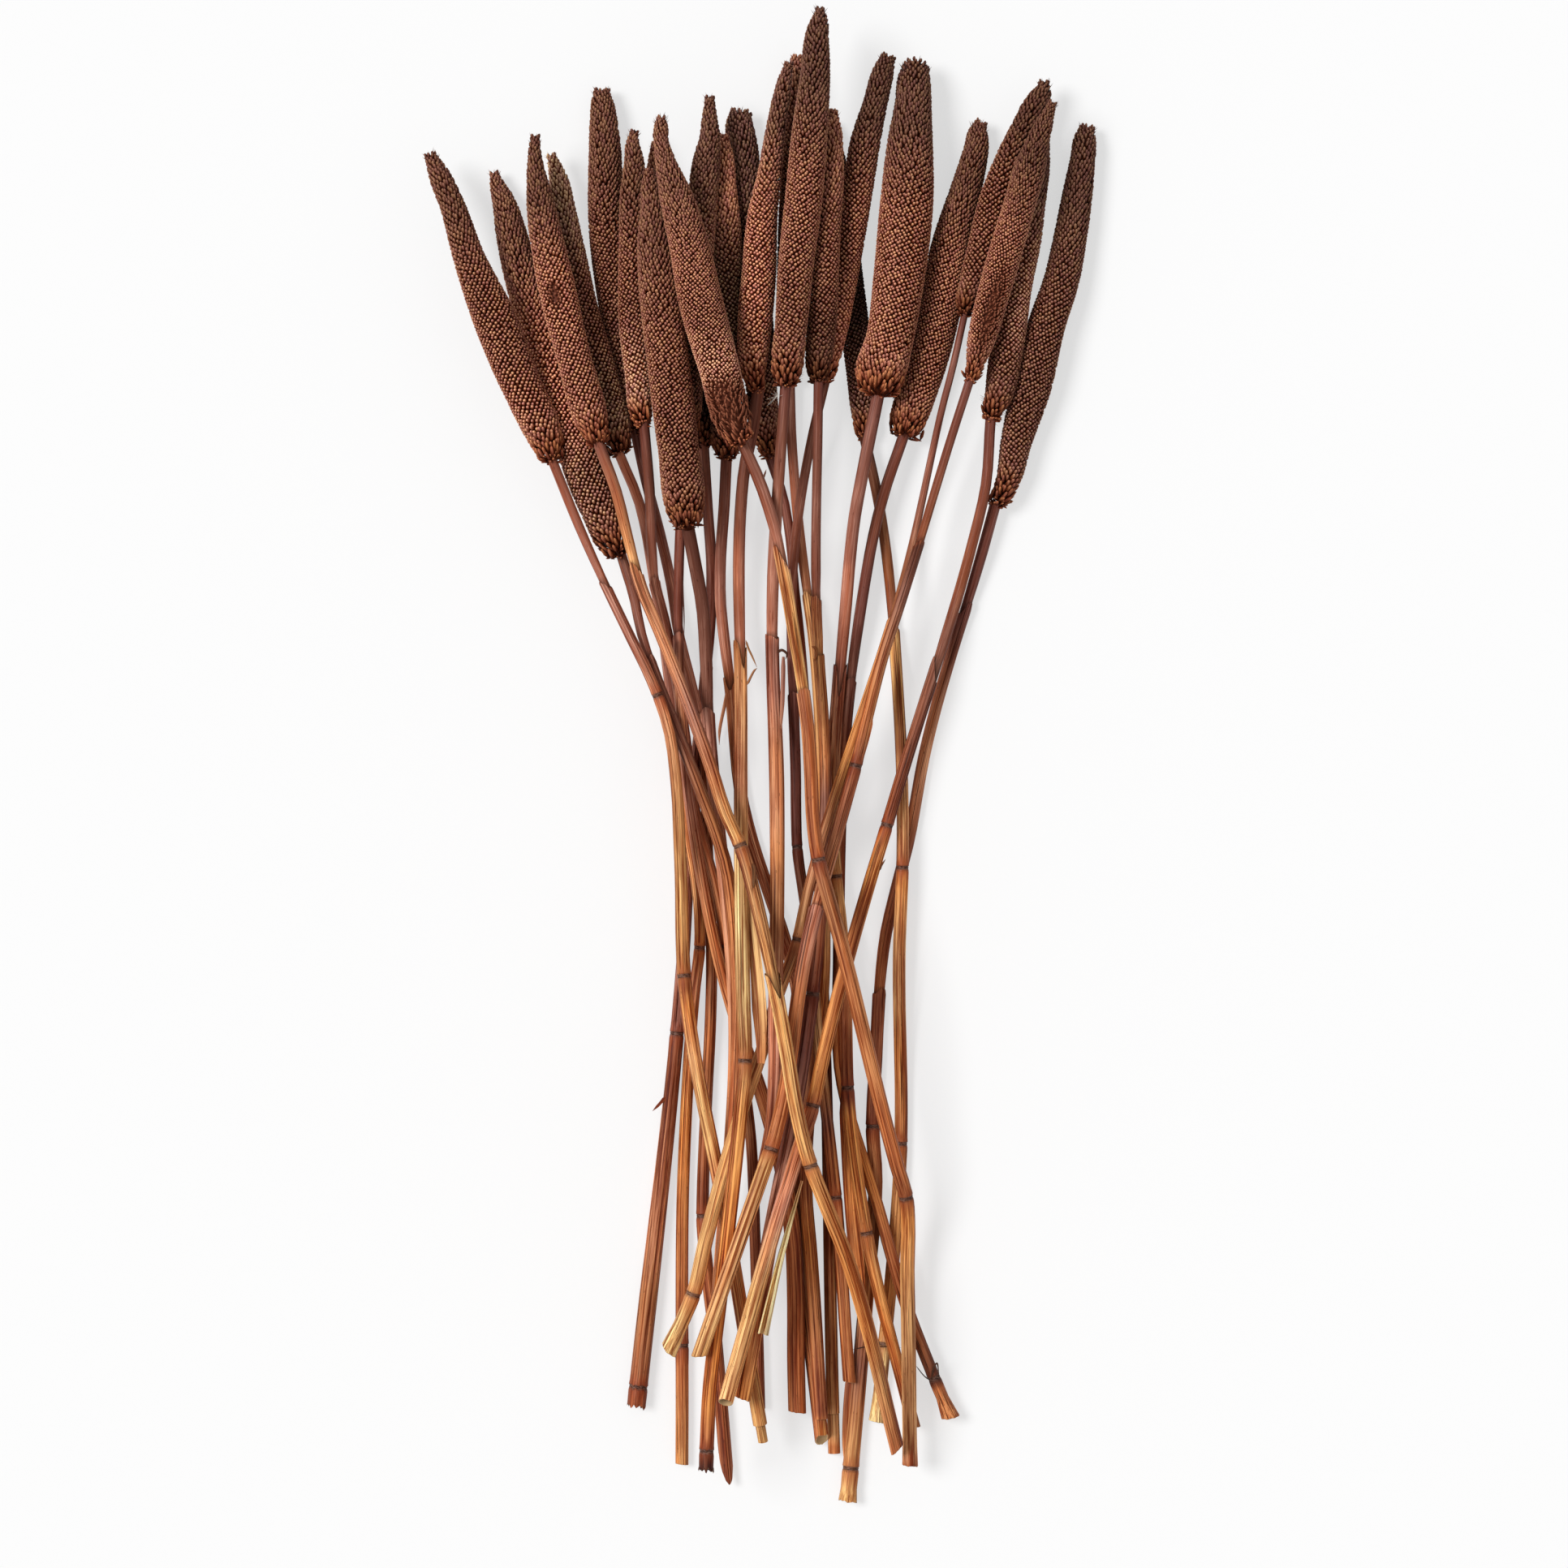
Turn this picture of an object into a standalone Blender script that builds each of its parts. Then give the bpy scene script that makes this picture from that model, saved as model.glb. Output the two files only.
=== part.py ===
# A bunch of dried pearl millet laid flat: 24 stalks, each a stem with a dense seed head,
# and one leaf that has come loose among the stems.
#
# Frame: +Y runs along the bunch towards the seed heads, +Z is up, and the bunch lies on z = 0.
# Every piece is lofted through rings that lie in planes of constant y, so two neighbours are
# clear of each other wherever their circles are clear in each such plane.

import bpy
import numpy as np

MM = 0.001
GAP = 0.0003            # clear space between neighbouring pieces
HEAD_SIDES = 10
STEM_SIDES = 6
STEM_STEP = 0.021       # longest run of a stem between two rings
COMPARE_STEP = 0.001    # spacing of the planes where neighbours are compared
STEM_BEND = 0.20        # radius of the tightest arch that a dry stem makes over another
HEAD_BEND = 0.60        # the same for the stiffer seed heads

# Finishes: base colour and roughness.
FINISHES = {
    "russet": ((0.19, 0.070, 0.040), 0.75),
    "umber": ((0.11, 0.045, 0.028), 0.80),
    "plum": ((0.17, 0.060, 0.042), 0.50),
    "rust": ((0.33, 0.105, 0.042), 0.50),
    "tan": ((0.46, 0.20, 0.085), 0.55),
    "gold": ((0.56, 0.31, 0.12), 0.55),
    "straw": ((0.70, 0.52, 0.26), 0.60),
}

# The stalks from the bottom of the pile to the top, in millimetres, seen from above: the head
# as (x, y, diameter) from its tip to its neck, then the stem as (x, y) on down to the cut foot.
# stem_d is the stem's diameter at the neck, halfway and foot.
STALKS = [
    dict(number=24, stem_d=(3.6, 4.2, 6.2), finish=("umber", "plum"),
         head=[(-35.5, 207, 2.5), (-35.5, 201, 4.9), (-32.5, 184.5, 8.2), (-25.5, 151.5, 9.3),
               (-21.5, 124, 9.1), (-19, 106, 6.9), (-19, 103.5, 3.8)],
         stem=[(-16.5, 63.5), (-23.5, -21.5), (-26, -65.5), (-42, -220)]),
    dict(number=23, stem_d=(3.8, 4.2, 5.4), finish=("russet", "rust"),
         head=[(110.5, 212.5, 4.7), (110, 210, 6.6), (109, 202, 8), (107, 190, 9.9), (105, 178, 11),
               (101.5, 159.5, 12.1), (97, 146, 12.6), (91.5, 125, 13.2), (86.5, 106.5, 10.4),
               (84, 94.5, 8.5), (81.5, 88, 6.6), (79, 83.5, 3.6)],
         stem=[(75, 69), (55, -2), (50.5, -27), (42.5, -60), (39, -104), (38, -125.5), (39, -142.5),
               (36.5, -175.5), (29.5, -252.5)]),
    dict(number=18, stem_d=(3.6, 4.2, 4.6), finish=("umber", "tan"),
         head=[(23.5, 214.5, 2.5), (24, 210.5, 4.4), (27, 187, 8.2), (30.5, 159.5, 9.3),
               (33.5, 132, 9.3), (35, 113, 7.1), (35.5, 106.5, 3.8)],
         stem=[(39.5, 88.5), (46.5, 22.5), (48, -38), (47, -63.5), (47.5, -131.5), (39.5, -225.5)]),
    dict(number=11, stem_d=(3.2, 3.6, 4.4), finish=("umber", "plum"),
         head=[(-6.5, 217.5, 6.9), (-7, 215.5, 8.2), (-5.5, 203.5, 9.3), (-4.5, 189.5, 10.4),
               (-2, 159.5, 10.7), (0, 132, 10.4), (2, 107.5, 8.2), (3.5, 100, 3.8)],
         stem=[(7.5, 88.5), (11.5, 58), (17.5, -7.5), (25, -236)]),
    dict(number=10, stem_d=(3.8, 4.4, 4.8), finish=("umber", "rust"),
         head=[(-12.5, 209, 3), (-12.5, 206, 4.9), (-12, 200.5, 6.3), (-12, 191, 7.9),
               (-11.5, 179.5, 9.6), (-11.5, 151, 10.1), (-11.5, 118.5, 9.9), (-11.5, 104.5, 9),
               (-11.5, 99.5, 4.7)],
         stem=[(-13.5, 52.5), (-10, 22.5), (-7, -10.5), (13, -82), (13.5, -161.5), (21, -233)]),
    dict(number=5, stem_d=(3.6, 3.8, 4.6), finish=("russet", "rust"),
         head=[(-53.5, 225, 4.9), (-53.5, 222.5, 6.6), (-53, 215.5, 8.8), (-52.5, 203.5, 10.7),
               (-52, 179.5, 11.8), (-49, 155.5, 12.1), (-45.5, 132, 11), (-42.5, 111.5, 7.7),
               (-42, 108.5, 4.4)],
         stem=[(-30, 57.5), (-27.5, 41), (-19.5, 8.5), (-18, -27), (-16.5, -72.5), (-19, -134),
               (-19.5, -157), (-15.5, -194.5), (-11, -246.5)]),
    dict(number=4, stem_d=(3.4, 3.8, 4.4), finish=("umber", "tan"),
         head=[(-70.5, 202.5, 2.7), (-68.5, 196.5, 5.5), (-66, 182.5, 8.2), (-64.5, 172, 10.1),
               (-60.5, 150.5, 11.5), (-53.5, 126, 11.5), (-48, 104, 8.5), (-47, 100.5, 4.4)],
         stem=[(-41, 86), (-36.5, 63.5), (-26.5, -12), (-20.5, -65), (-22, -77.5), (-25.5, -128.5),
               (-26.5, -240)]),
    dict(number=19, stem_d=(3.8, 3.8, 4.2), finish=("russet", "rust"),
         head=[(74.5, 214, 4.1), (73.5, 211, 6.6), (73, 206, 8.2), (70, 193.5, 10.4), (64, 172, 12.9),
               (60, 148, 13.7), (53.5, 124.5, 13.2), (50, 114, 12.1), (48.5, 108.5, 8.2),
               (48, 107, 4.4)],
         stem=[(42, 89.5), (33, 43.5), (26.5, -71), (27, -106.5), (40, -153), (49.5, -186),
               (64.5, -224)]),
    dict(number=17, stem_d=(4.2, 4.4, 4.2), finish=("russet", "plum"),
         head=[(52.5, 232.5, 9), (52, 230, 10.4), (51.5, 219.5, 12.3), (50.5, 207.5, 14.8),
               (49.5, 189, 16.9), (46.5, 159.5, 16.9), (43.5, 140, 16.4), (40.5, 128.5, 17.2),
               (40, 123.5, 13.7), (39.5, 120.5, 7.6)],
         stem=[(31.5, 78.5), (29, 52), (24.5, -27), (28.5, -73.5), (29.5, -112), (36, -161.5),
               (52, -227)]),
    dict(number=13, stem_d=(3.4, 4.2, 4.4), finish=("umber", "gold"),
         head=[(12.5, 236.5, 3.6), (12.5, 234, 5.2), (12, 222.5, 6.9), (11.5, 200.5, 9), (11, 173, 10.4),
               (10.5, 145.5, 10.1), (10, 130.5, 7.7), (10, 125.5, 4.7)],
         stem=[(13, 77.5), (18, 39), (21.5, -49), (21.5, -70.5), (15.5, -147.5), (17, -166.5),
               (21, -229)]),
    dict(number=6, stem_d=(3.6, 3.6, 3.8), finish=("russet", "rust"),
         head=[(-42.5, 210, 2.5), (-43, 205.5, 4.6), (-42.5, 200, 6.3), (-43, 189, 7.9), (-43, 172.5, 9),
               (-42.5, 145, 9.6), (-41, 128.5, 9), (-40, 115, 7.4), (-39, 110, 4.1)],
         stem=[(-36.5, 69), (-35.5, 58), (-32.5, 46.5), (-24, -3.5), (-22, -18.5), (-16, -40.5),
               (-8, -93), (-3, -131.5), (-1.9, -160), (-0.2, -221)]),
    dict(number=9, stem_d=(3.4, 3.8, 6.0), finish=("russet", "tan"),
         head=[(-17, 221, 2.7), (-17, 214.5, 4.9), (-17, 207, 7.1), (-18, 200, 9.3), (-19.5, 186, 10.4),
               (-21.5, 159, 10.4), (-24, 131.5, 9.8), (-25, 109.5, 7.6), (-25, 105.5, 4.1)],
         stem=[(-26.5, 85), (-22, -27), (-6.5, -94), (-2, -106.5), (8.5, -145), (12.5, -222)]),
    dict(number=7, stem_d=(4.4, 4.4, 4.2), finish=("russet", "plum"),
         head=[(-37, 195.5, 3.3), (-37, 193, 4.6), (-36, 182.5, 7.9), (-35.5, 171.5, 10.9),
               (-34, 158, 13), (-30.5, 130.5, 14.1), (-27.5, 103.5, 13.8), (-25, 83, 13),
               (-24, 75.5, 7.6)],
         stem=[(-19.5, 51.5), (-17.5, 12.5), (-8.5, -92.5), (-14.5, -183)]),
    dict(number=2, stem_d=(3.4, 4.6, 4.2), finish=("russet", "tan"),
         head=[(-90, 197, 2.7), (-89, 193.5, 4.9), (-86.5, 186.5, 8), (-84, 176, 10.4),
               (-78.5, 155.5, 12.6), (-68, 123.5, 13.1), (-54.5, 83.5, 12), (-49, 71, 9.3),
               (-46.5, 66.5, 4.9)],
         stem=[(-40, 41.5), (-19, -14.5), (-11.5, -36.5), (-8.5, -62), (-9, -127.5), (-15, -188)]),
    dict(number=1, stem_d=(3.2, 4.6, 4.8), finish=("russet", "gold"),
         head=[(-111, 202, 3.8), (-108.5, 196.5, 6.6), (-103.5, 185, 8.2), (-97.5, 167, 10.7),
               (-89.5, 148, 14.2), (-80.5, 125, 13.1), (-72, 106.5, 10.9), (-69, 97.5, 5.5)],
         stem=[(-51.5, 56.5), (-31, 10.5), (-27, -29.5), (-25.5, -74.5), (-11.5, -154.5), (1, -230.5)]),
    dict(number=16, stem_d=(3.2, 3.6, 4.2), finish=("russet", "plum"),
         head=[(43, 235.5, 4.6), (42, 232.5, 6), (38.5, 219, 7.9), (35.5, 207, 9.8), (32.5, 189, 10.1),
               (29, 167, 10.1), (25, 145, 9.6), (22, 130, 7.1), (21.5, 124.5, 4.1)],
         stem=[(18, 110), (12, 74.5), (12, -7.5), (12.5, -31), (17, -62.5), (18.5, -84.5),
               (25.5, -149.5), (30, -212)]),
    dict(number=15, stem_d=(3.2, 4.0, 5.6), finish=("russet", "tan"),
         head=[(24.5, 216, 2.7), (24.5, 212.5, 4.6), (24, 201.5, 7.3), (22.5, 177, 9.2),
               (20.5, 144.5, 9.8), (19.5, 129.5, 7.6), (19.5, 124, 4.1)],
         stem=[(19, 47), (22, -2.5), (11, -122.5), (6.5, -144.5), (-6, -215.5)]),
    dict(number=22, stem_d=(3.6, 4.4, 5.0), finish=("umber", "rust"),
         head=[(96.5, 210.5, 2.5), (94, 201, 7.4), (91.5, 187, 9.3), (89.5, 173.5, 10.2),
               (86.5, 159.5, 10.7), (83, 137.5, 11.5), (80, 121, 9), (78, 115, 6), (77.5, 112, 3.6)],
         stem=[(76, 91), (71.5, 71.5), (48.5, -4), (20.5, -103), (17.5, -117), (12, -134), (-12, -217)]),
    dict(number=20, stem_d=(2.4, 3.6, 5.0), finish=("russet", "gold"),
         head=[(95.5, 227, 3.3), (95.5, 224.5, 5.7), (93.5, 220.5, 7.9), (90.5, 213.5, 9.3),
               (84.5, 200, 10.9), (79, 186, 11.2), (75, 172.5, 10.1), (71, 159, 8.2), (69, 151, 6),
               (68.5, 147.5, 3)],
         stem=[(61, 116), (51.5, 72), (14.5, -52.5), (12.5, -62), (6, -80), (0, -100.5), (-4.5, -113.5),
               (-18.5, -163.5), (-22, -179), (-31, -200)]),
    dict(number=12, stem_d=(4.0, 4.8, 4.8), finish=("russet", "gold"),
         head=[(9.5, 233, 2.7), (8.5, 228, 4.6), (5.5, 213, 6.3), (3, 195, 8.2), (1, 183, 9.8),
               (-0.5, 161.5, 11.5), (-2, 145, 11.7), (-2.5, 131.5, 9.5), (-1, 121, 3.5)],
         stem=[(-5, 98.5), (-6.5, 14), (-5.5, -83.5), (-5, -101), (-6.5, -118.5), (-13, -178.5),
               (-17, -214), (-18, -238.5)]),
    dict(number=14, stem_d=(3.8, 5.0, 4.4), finish=("russet", "tan"),
         head=[(20, 249.5, 2.4), (20, 247, 4.9), (19, 240.5, 7.6), (18.5, 228.5, 9.5), (17, 211.5, 11.6),
               (15, 190, 12.5), (12, 164, 11.9), (10.5, 144, 10.8), (9, 129, 9.7), (8.5, 122.5, 5.1)],
         stem=[(4, 40.5), (5.5, -7), (5, -86.5), (3.6, -125), (0.6, -139.5), (-4.6, -155)]),
    dict(number=21, stem_d=(3.0, 4.6, 5.0), finish=("russet", "tan"),
         head=[(98, 219, 2.4), (95.5, 212.5, 5.4), (93, 205.5, 7.6), (91, 199, 10.1), (87, 185, 10.6),
               (83, 171.5, 11.1), (79, 158, 10.9), (73.5, 137.5, 8.7), (71, 128, 4.9), (70, 125, 5.2)],
         stem=[(47, 51), (42, 36), (32, -3.5), (15.5, -64.5), (4, -130), (0.5, -140), (-20.5, -200.5)]),
    dict(number=8, stem_d=(4.0, 4.8, 4.8), finish=("russet", "tan"),
         head=[(-33, 213, 2.4), (-33, 211, 4.1), (-33, 205.5, 4.6), (-31.5, 198, 6.8),
               (-28.5, 187.5, 10.6), (-24, 171, 13), (-19.5, 150.5, 14.6), (-14, 130.5, 13.5),
               (-8.5, 110, 10.8), (-5.5, 103.5, 6)],
         stem=[(-0.5, 92.5), (11.5, 40), (16, 8.5), (19.5, -34.5), (25.5, -56.5), (45.5, -136),
               (49, -148.5), (49.5, -172), (50.5, -239.5)]),
    dict(number=3, stem_d=(3.8, 4.8, 4.8), finish=("russet", "gold"),
         head=[(-75.5, 207.5, 2.7), (-75.5, 200.5, 4.6), (-74, 187.5, 8.4), (-71.5, 172, 10.9),
               (-69, 160, 12), (-62.5, 133.5, 11.4), (-56.5, 112.5, 10.6), (-53.5, 103, 4.9)],
         stem=[(-48.5, 89.5), (-39.5, 55.5), (-34.5, 43.5), (-16.5, -3.5), (-11.5, -19), (-6.5, -30),
               (-2, -45.5), (5.5, -79.5), (16.5, -135), (28.5, -166), (46.5, -234.5)]),
]

# The loose leaf: a rolled strip that is narrow at its upper end and wide where it was cut.
LEAF = dict(points=[(14, -142), (7, -167), (1, -193)], ends_d=(0.9, 3.6), finish="straw")


def clear_scene():
    for item in list(bpy.data.objects):
        bpy.data.objects.remove(item, do_unlink=True)


def smooth_run(points, y):
    # A smooth curve x(y) through the points, which run from high y to low y.
    line = np.array(points[::-1], dtype=float) * MM
    px, py = line[:, 0], line[:, 1]
    if len(px) > 2:
        slope = np.gradient(px, py)
    else:
        slope = np.full(2, (px[1] - px[0]) / (py[1] - py[0]))
    k = np.clip(np.searchsorted(py, y) - 1, 0, len(py) - 2)
    run = py[k + 1] - py[k]
    t = (y - py[k]) / run
    rise = px[k] * (2 * t**3 - 3 * t**2 + 1) + px[k + 1] * (3 * t**2 - 2 * t**3)
    return rise + run * (slope[k] * (t**3 - 2 * t**2 + t) + slope[k + 1] * (t**3 - t**2))


def spread_rings(marks):
    # Ring positions: every mark, and evenly between marks that are far apart.
    rings = [marks[0]]
    for start, end in zip(marks[:-1], marks[1:]):
        parts = int(np.ceil(abs(end - start) / STEM_STEP))
        rings.extend(start + (end - start) * k / parts for k in range(1, parts + 1))
    return np.array(rings)


def make_head_rings(stalk):
    _, y, diameter = np.array(stalk["head"]).T * MM
    return y, diameter / 2


def make_stem_rings(stalk):
    neck = stalk["head"][-1][1] * MM - GAP
    marks = [neck] + [point[1] * MM for point in stalk["stem"]]
    y = spread_rings(marks)
    share = (y[0] - y) / (y[0] - y[-1])
    diameter = np.interp(share, [0, 0.12, 0.5, 0.9, 1],
                         [stalk["stem_d"][k] for k in (0, 0, 1, 2, 2)])
    return y, diameter / 2 * MM


def arch(need, planes, y, bend):
    # Height of each ring: high enough for every plane beside it, then falling away from each
    # high place along an arch of the ring's bend radius.
    step = np.abs(np.diff(y))
    reach = np.maximum(np.append(step, 0), np.append(0, step))
    away = np.maximum(np.abs(planes[None, :] - y[:, None]) - reach[:, None], 0)
    return np.max(need[None, :] - away**2 / (2 * bend[:, None]), axis=1)


def pile_up(runs):
    # Lay each run on those before it; a run is a list of ring stacks (y, x, radius).
    planes = np.arange(-0.26, 0.26, COMPARE_STEP)
    laid = []
    for run in runs:
        y = np.concatenate([stack[0] for stack in run])
        x = np.concatenate([stack[1] for stack in run])
        radius = np.concatenate([stack[2] for stack in run])
        here = (planes >= y[-1]) & (planes <= y[0])
        across = np.interp(planes, y[::-1], x[::-1])
        girth = np.interp(planes, y[::-1], radius[::-1])
        need = np.where(here, girth, -1.0)
        for other_here, other_across, other_girth, other_z in laid:
            reach = girth + other_girth + GAP
            aside = across - other_across
            crossing = here & other_here & (np.abs(aside) < reach)
            lift = other_z + np.sqrt(np.maximum(reach**2 - aside**2, 0))
            need = np.where(crossing, np.maximum(need, lift), need)
        heads = len(run[0][0]) if len(run) > 1 else 0
        bend = np.where(np.arange(len(y)) < heads, HEAD_BEND, STEM_BEND)
        z = np.maximum(arch(need, planes, y, bend), radius)
        laid.append((here, across, girth, np.interp(planes, y[::-1], z[::-1])))
        start = 0
        for stack in run:
            end = start + len(stack[0])
            stack.append(z[start:end])
            start = end


def loft(name, stack, sides, finish, shift):
    y, x, radius, z = stack
    turn = 2 * np.pi * (np.arange(sides) + 0.5 * (sides % 4 == 2)) / sides
    points = np.empty((len(y), sides, 3))
    points[:, :, 0] = x[:, None] + radius[:, None] * np.cos(turn)
    points[:, :, 1] = y[:, None]
    points[:, :, 2] = z[:, None] + radius[:, None] * np.sin(turn)
    points += shift
    faces = [list(range(sides))[::-1], list(range((len(y) - 1) * sides, len(y) * sides))]
    for ring in range(len(y) - 1):
        for k in range(sides):
            a = ring * sides + k
            b = ring * sides + (k + 1) % sides
            faces.append([a, b, b + sides, a + sides])
    mesh = bpy.data.meshes.new(name)
    mesh.from_pydata(points.reshape(-1, 3).tolist(), [], faces)
    mesh.shade_smooth()
    mesh.set_sharp_from_angle(angle=np.radians(65))
    mesh.materials.append(make_finish(name, finish))
    piece = bpy.data.objects.new(name, mesh)
    bpy.context.scene.collection.objects.link(piece)


def make_finish(name, finish):
    colour, roughness = FINISHES[finish]
    material = bpy.data.materials.new(name + "_finish")
    material.use_nodes = True
    shader = material.node_tree.nodes["Principled BSDF"]
    shader.inputs["Base Color"].default_value = (*colour, 1.0)
    shader.inputs["Roughness"].default_value = roughness
    shader.inputs["Metallic"].default_value = 0.0
    return material


def lay_out_stalk(stalk):
    points = [point[:2] for point in stalk["head"]] + stalk["stem"]
    run = []
    for y, radius in (make_head_rings(stalk), make_stem_rings(stalk)):
        run.append([y, smooth_run(points, y), radius])
    return run


def lay_out_leaf():
    y = np.linspace(LEAF["points"][0][1], LEAF["points"][-1][1], 6) * MM
    radius = np.linspace(*LEAF["ends_d"], len(y)) / 2 * MM
    return [[y, smooth_run(LEAF["points"], y), radius]]


def centre_shift(runs):
    # Move that puts the middle of the pile's outline at x = y = 0.
    low = np.full(2, np.inf)
    high = -low
    for run in runs:
        for y, x, radius, _ in run:
            sides = STEM_SIDES if len(run) == 1 else HEAD_SIDES
            low = np.minimum(low, [np.min(x - radius), np.min(y)])
            high = np.maximum(high, [np.max(x + radius), np.max(y)])
    return np.array([*(-(low + high) / 2), 0.0])


def main():
    clear_scene()
    runs = [lay_out_stalk(stalk) for stalk in STALKS]
    leaf = lay_out_leaf()
    pile = runs[:-1] + [leaf] + runs[-1:]
    pile_up(pile)
    shift = centre_shift(pile)
    for stalk, (head, stem) in zip(STALKS, runs):
        head_finish, stem_finish = stalk["finish"]
        loft("seed_head_%02d" % stalk["number"], head, HEAD_SIDES, head_finish, shift)
        loft("stem_%02d" % stalk["number"], stem, STEM_SIDES, stem_finish, shift)
    loft("loose_leaf", leaf[0], STEM_SIDES, LEAF["finish"], shift)


main()
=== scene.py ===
import bpy
import numpy as np
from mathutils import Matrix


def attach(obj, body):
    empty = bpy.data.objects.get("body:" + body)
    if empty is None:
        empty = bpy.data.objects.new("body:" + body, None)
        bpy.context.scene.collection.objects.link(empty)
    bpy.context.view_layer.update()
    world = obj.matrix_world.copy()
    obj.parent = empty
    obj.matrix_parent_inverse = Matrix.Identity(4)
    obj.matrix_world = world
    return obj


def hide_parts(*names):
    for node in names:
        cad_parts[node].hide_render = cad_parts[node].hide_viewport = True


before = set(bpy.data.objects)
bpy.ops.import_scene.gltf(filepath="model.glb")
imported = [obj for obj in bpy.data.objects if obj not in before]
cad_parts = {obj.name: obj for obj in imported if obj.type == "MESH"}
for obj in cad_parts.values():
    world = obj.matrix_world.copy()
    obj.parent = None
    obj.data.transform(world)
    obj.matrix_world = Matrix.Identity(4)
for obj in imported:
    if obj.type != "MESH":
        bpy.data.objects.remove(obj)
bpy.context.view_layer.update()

# A bunch of dried millet stalks that lies flat: +Y runs towards the seed heads and +Z is up.
# Lengths in the dictionaries are in millimetres, and places along a stalk are its y. Turns round
# a stalk are in degrees where a dictionary gives them, and 90 faces up.
mm = 0.001
circle = 2 * np.pi
goldenTurn = np.radians(137.50776)
hexagonShare = 0.866  # area of a grain's cell over its spacing squared, as in a hexagonal packing

# linear colours of the dried stalks, light to dark
colours = dict(
    paleStraw=(0.80, 0.58, 0.30), straw=(0.68, 0.42, 0.18), paleGold=(0.70, 0.32, 0.13),
    wheat=(0.61, 0.29, 0.105), gold=(0.61, 0.215, 0.058), pinkTan=(0.55, 0.215, 0.135),
    ochre=(0.47, 0.185, 0.065), amber=(0.52, 0.160, 0.038), tan=(0.48, 0.172, 0.080),
    orangeTan=(0.44, 0.138, 0.048), roseTan=(0.38, 0.138, 0.090), bronze=(0.33, 0.110, 0.042),
    russetRed=(0.37, 0.100, 0.034), roseBrown=(0.28, 0.098, 0.064), redBrown=(0.25, 0.066, 0.028),
    umberTan=(0.20, 0.068, 0.042), plumBrown=(0.165, 0.050, 0.035), darkBark=(0.10, 0.031, 0.019),
    # hollow is painted shade for the insides of sheaths, hollow feet and dark strips
    pith=(0.60, 0.40, 0.20), down=(0.80, 0.74, 0.66), hollow=(0.03, 0.014, 0.008),
    ringDark=(0.030, 0.014, 0.010), ringDust=(0.170, 0.090, 0.065))


# centre lines read from the frame

def readRings(node):
    # y, centre x, centre z and radius of every ring of a CAD node, by rising y
    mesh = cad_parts[node].data
    points = np.empty(len(mesh.vertices) * 3, np.float32)
    mesh.vertices.foreach_get("co", points)
    points = np.unique(np.round(points.reshape(-1, 3), 6), axis=0)
    level, ring = np.unique(np.round(points[:, 1], 5), return_inverse=True)
    count = np.bincount(ring)
    x = np.bincount(ring, points[:, 0]) / count
    z = np.bincount(ring, points[:, 2]) / count
    reach = np.hypot(points[:, 0] - x[ring], points[:, 2] - z[ring])
    return dict(y=level, x=x, z=z, radius=np.bincount(ring, reach) / count)


def through(knots, values, at):
    # cubic curve through the knots: each span is the Hermite blend of its two ends and slopes
    slope = np.gradient(values, knots)
    k = np.clip(np.searchsorted(knots, at) - 1, 0, len(knots) - 2)
    span = knots[k + 1] - knots[k]
    t = np.clip((at - knots[k]) / span, -0.5, 1.5)
    ends = values[k] * (2 * t**3 - 3 * t**2 + 1) + values[k + 1] * (3 * t**2 - 2 * t**3)
    return ends + span * (slope[k] * (t**3 - 2 * t**2 + t) + slope[k + 1] * (t**3 - t**2))


def unit(vectors):
    # each vector over its own length
    return vectors / np.linalg.norm(vectors, axis=-1, keepdims=True)


def squareTo(axis, vectors):
    # unit vectors at right angles to the axes: each vector less its own part along its axis
    return unit(vectors - axis * np.sum(vectors * axis, axis=1, keepdims=True))


def follow(rings, y):
    # centre point and unit vectors along (to the head), across and up at every y
    def at(place):
        return np.stack([through(rings["y"], rings["x"], place), place,
                         through(rings["y"], rings["z"], place)], axis=-1)
    step = 0.4 * mm
    along = unit(at(y + step) - at(y - step))
    across = unit(np.cross(along, [0.0, 0.0, 1.0]))
    return at(y), along, across, np.cross(across, along)


def outwardAt(across, up, turn):
    # straight out of a stalk at a turn round it: across times cosine plus up times sine
    return across * np.cos(turn)[..., None] + up * np.sin(turn)[..., None]


def leanAlong(outward, along, lean):
    # outward tilted towards the head by lean: outward times cosine plus along times sine
    return outward * np.cos(lean)[:, None] + along * np.sin(lean)[:, None]


def turnApart(turn, other):
    # the shorter way round from one turn to another, between minus and plus half a circle
    return np.angle(np.exp(1j * (turn - other)))


def evenTurns(count):
    # turns of count points spaced evenly round a circle
    return circle * np.arange(count) / count


def waves(dice, count, reach):
    # a smooth wavy function of angle and length: a sum of sines with random turns and phases
    turns = dice.integers(0, 4, count)
    pace = dice.uniform(-reach, reach, count)
    phase = dice.uniform(0, circle, count)
    def wave(angle, length):
        total = sum(np.sin(n * angle + k * length + p) for n, k, p in zip(turns, pace, phase))
        return total / np.sqrt(count)
    return wave


# meshes

def tubeFaces(rows, columns):
    # quads of a closed tube of rows x columns points, and its two flat ends
    k = np.arange(columns)
    ring = np.stack([k, (k + 1) % columns, (k + 1) % columns + columns, k + columns], axis=1)
    sides = (ring[None] + (np.arange(rows - 1) * columns)[:, None, None]).reshape(-1, 4)
    return [sides, k[::-1][None], (k + (rows - 1) * columns)[None]]


def makePart(points, faces, **marks):
    # points and faces with their marks, where a single number stands for all of the points
    points = points.reshape(-1, 3)
    marks = {name: value if np.ndim(value) else np.full(len(points), value)
             for name, value in marks.items()}
    return dict(points=points, faces=faces, marks=marks)


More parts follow.
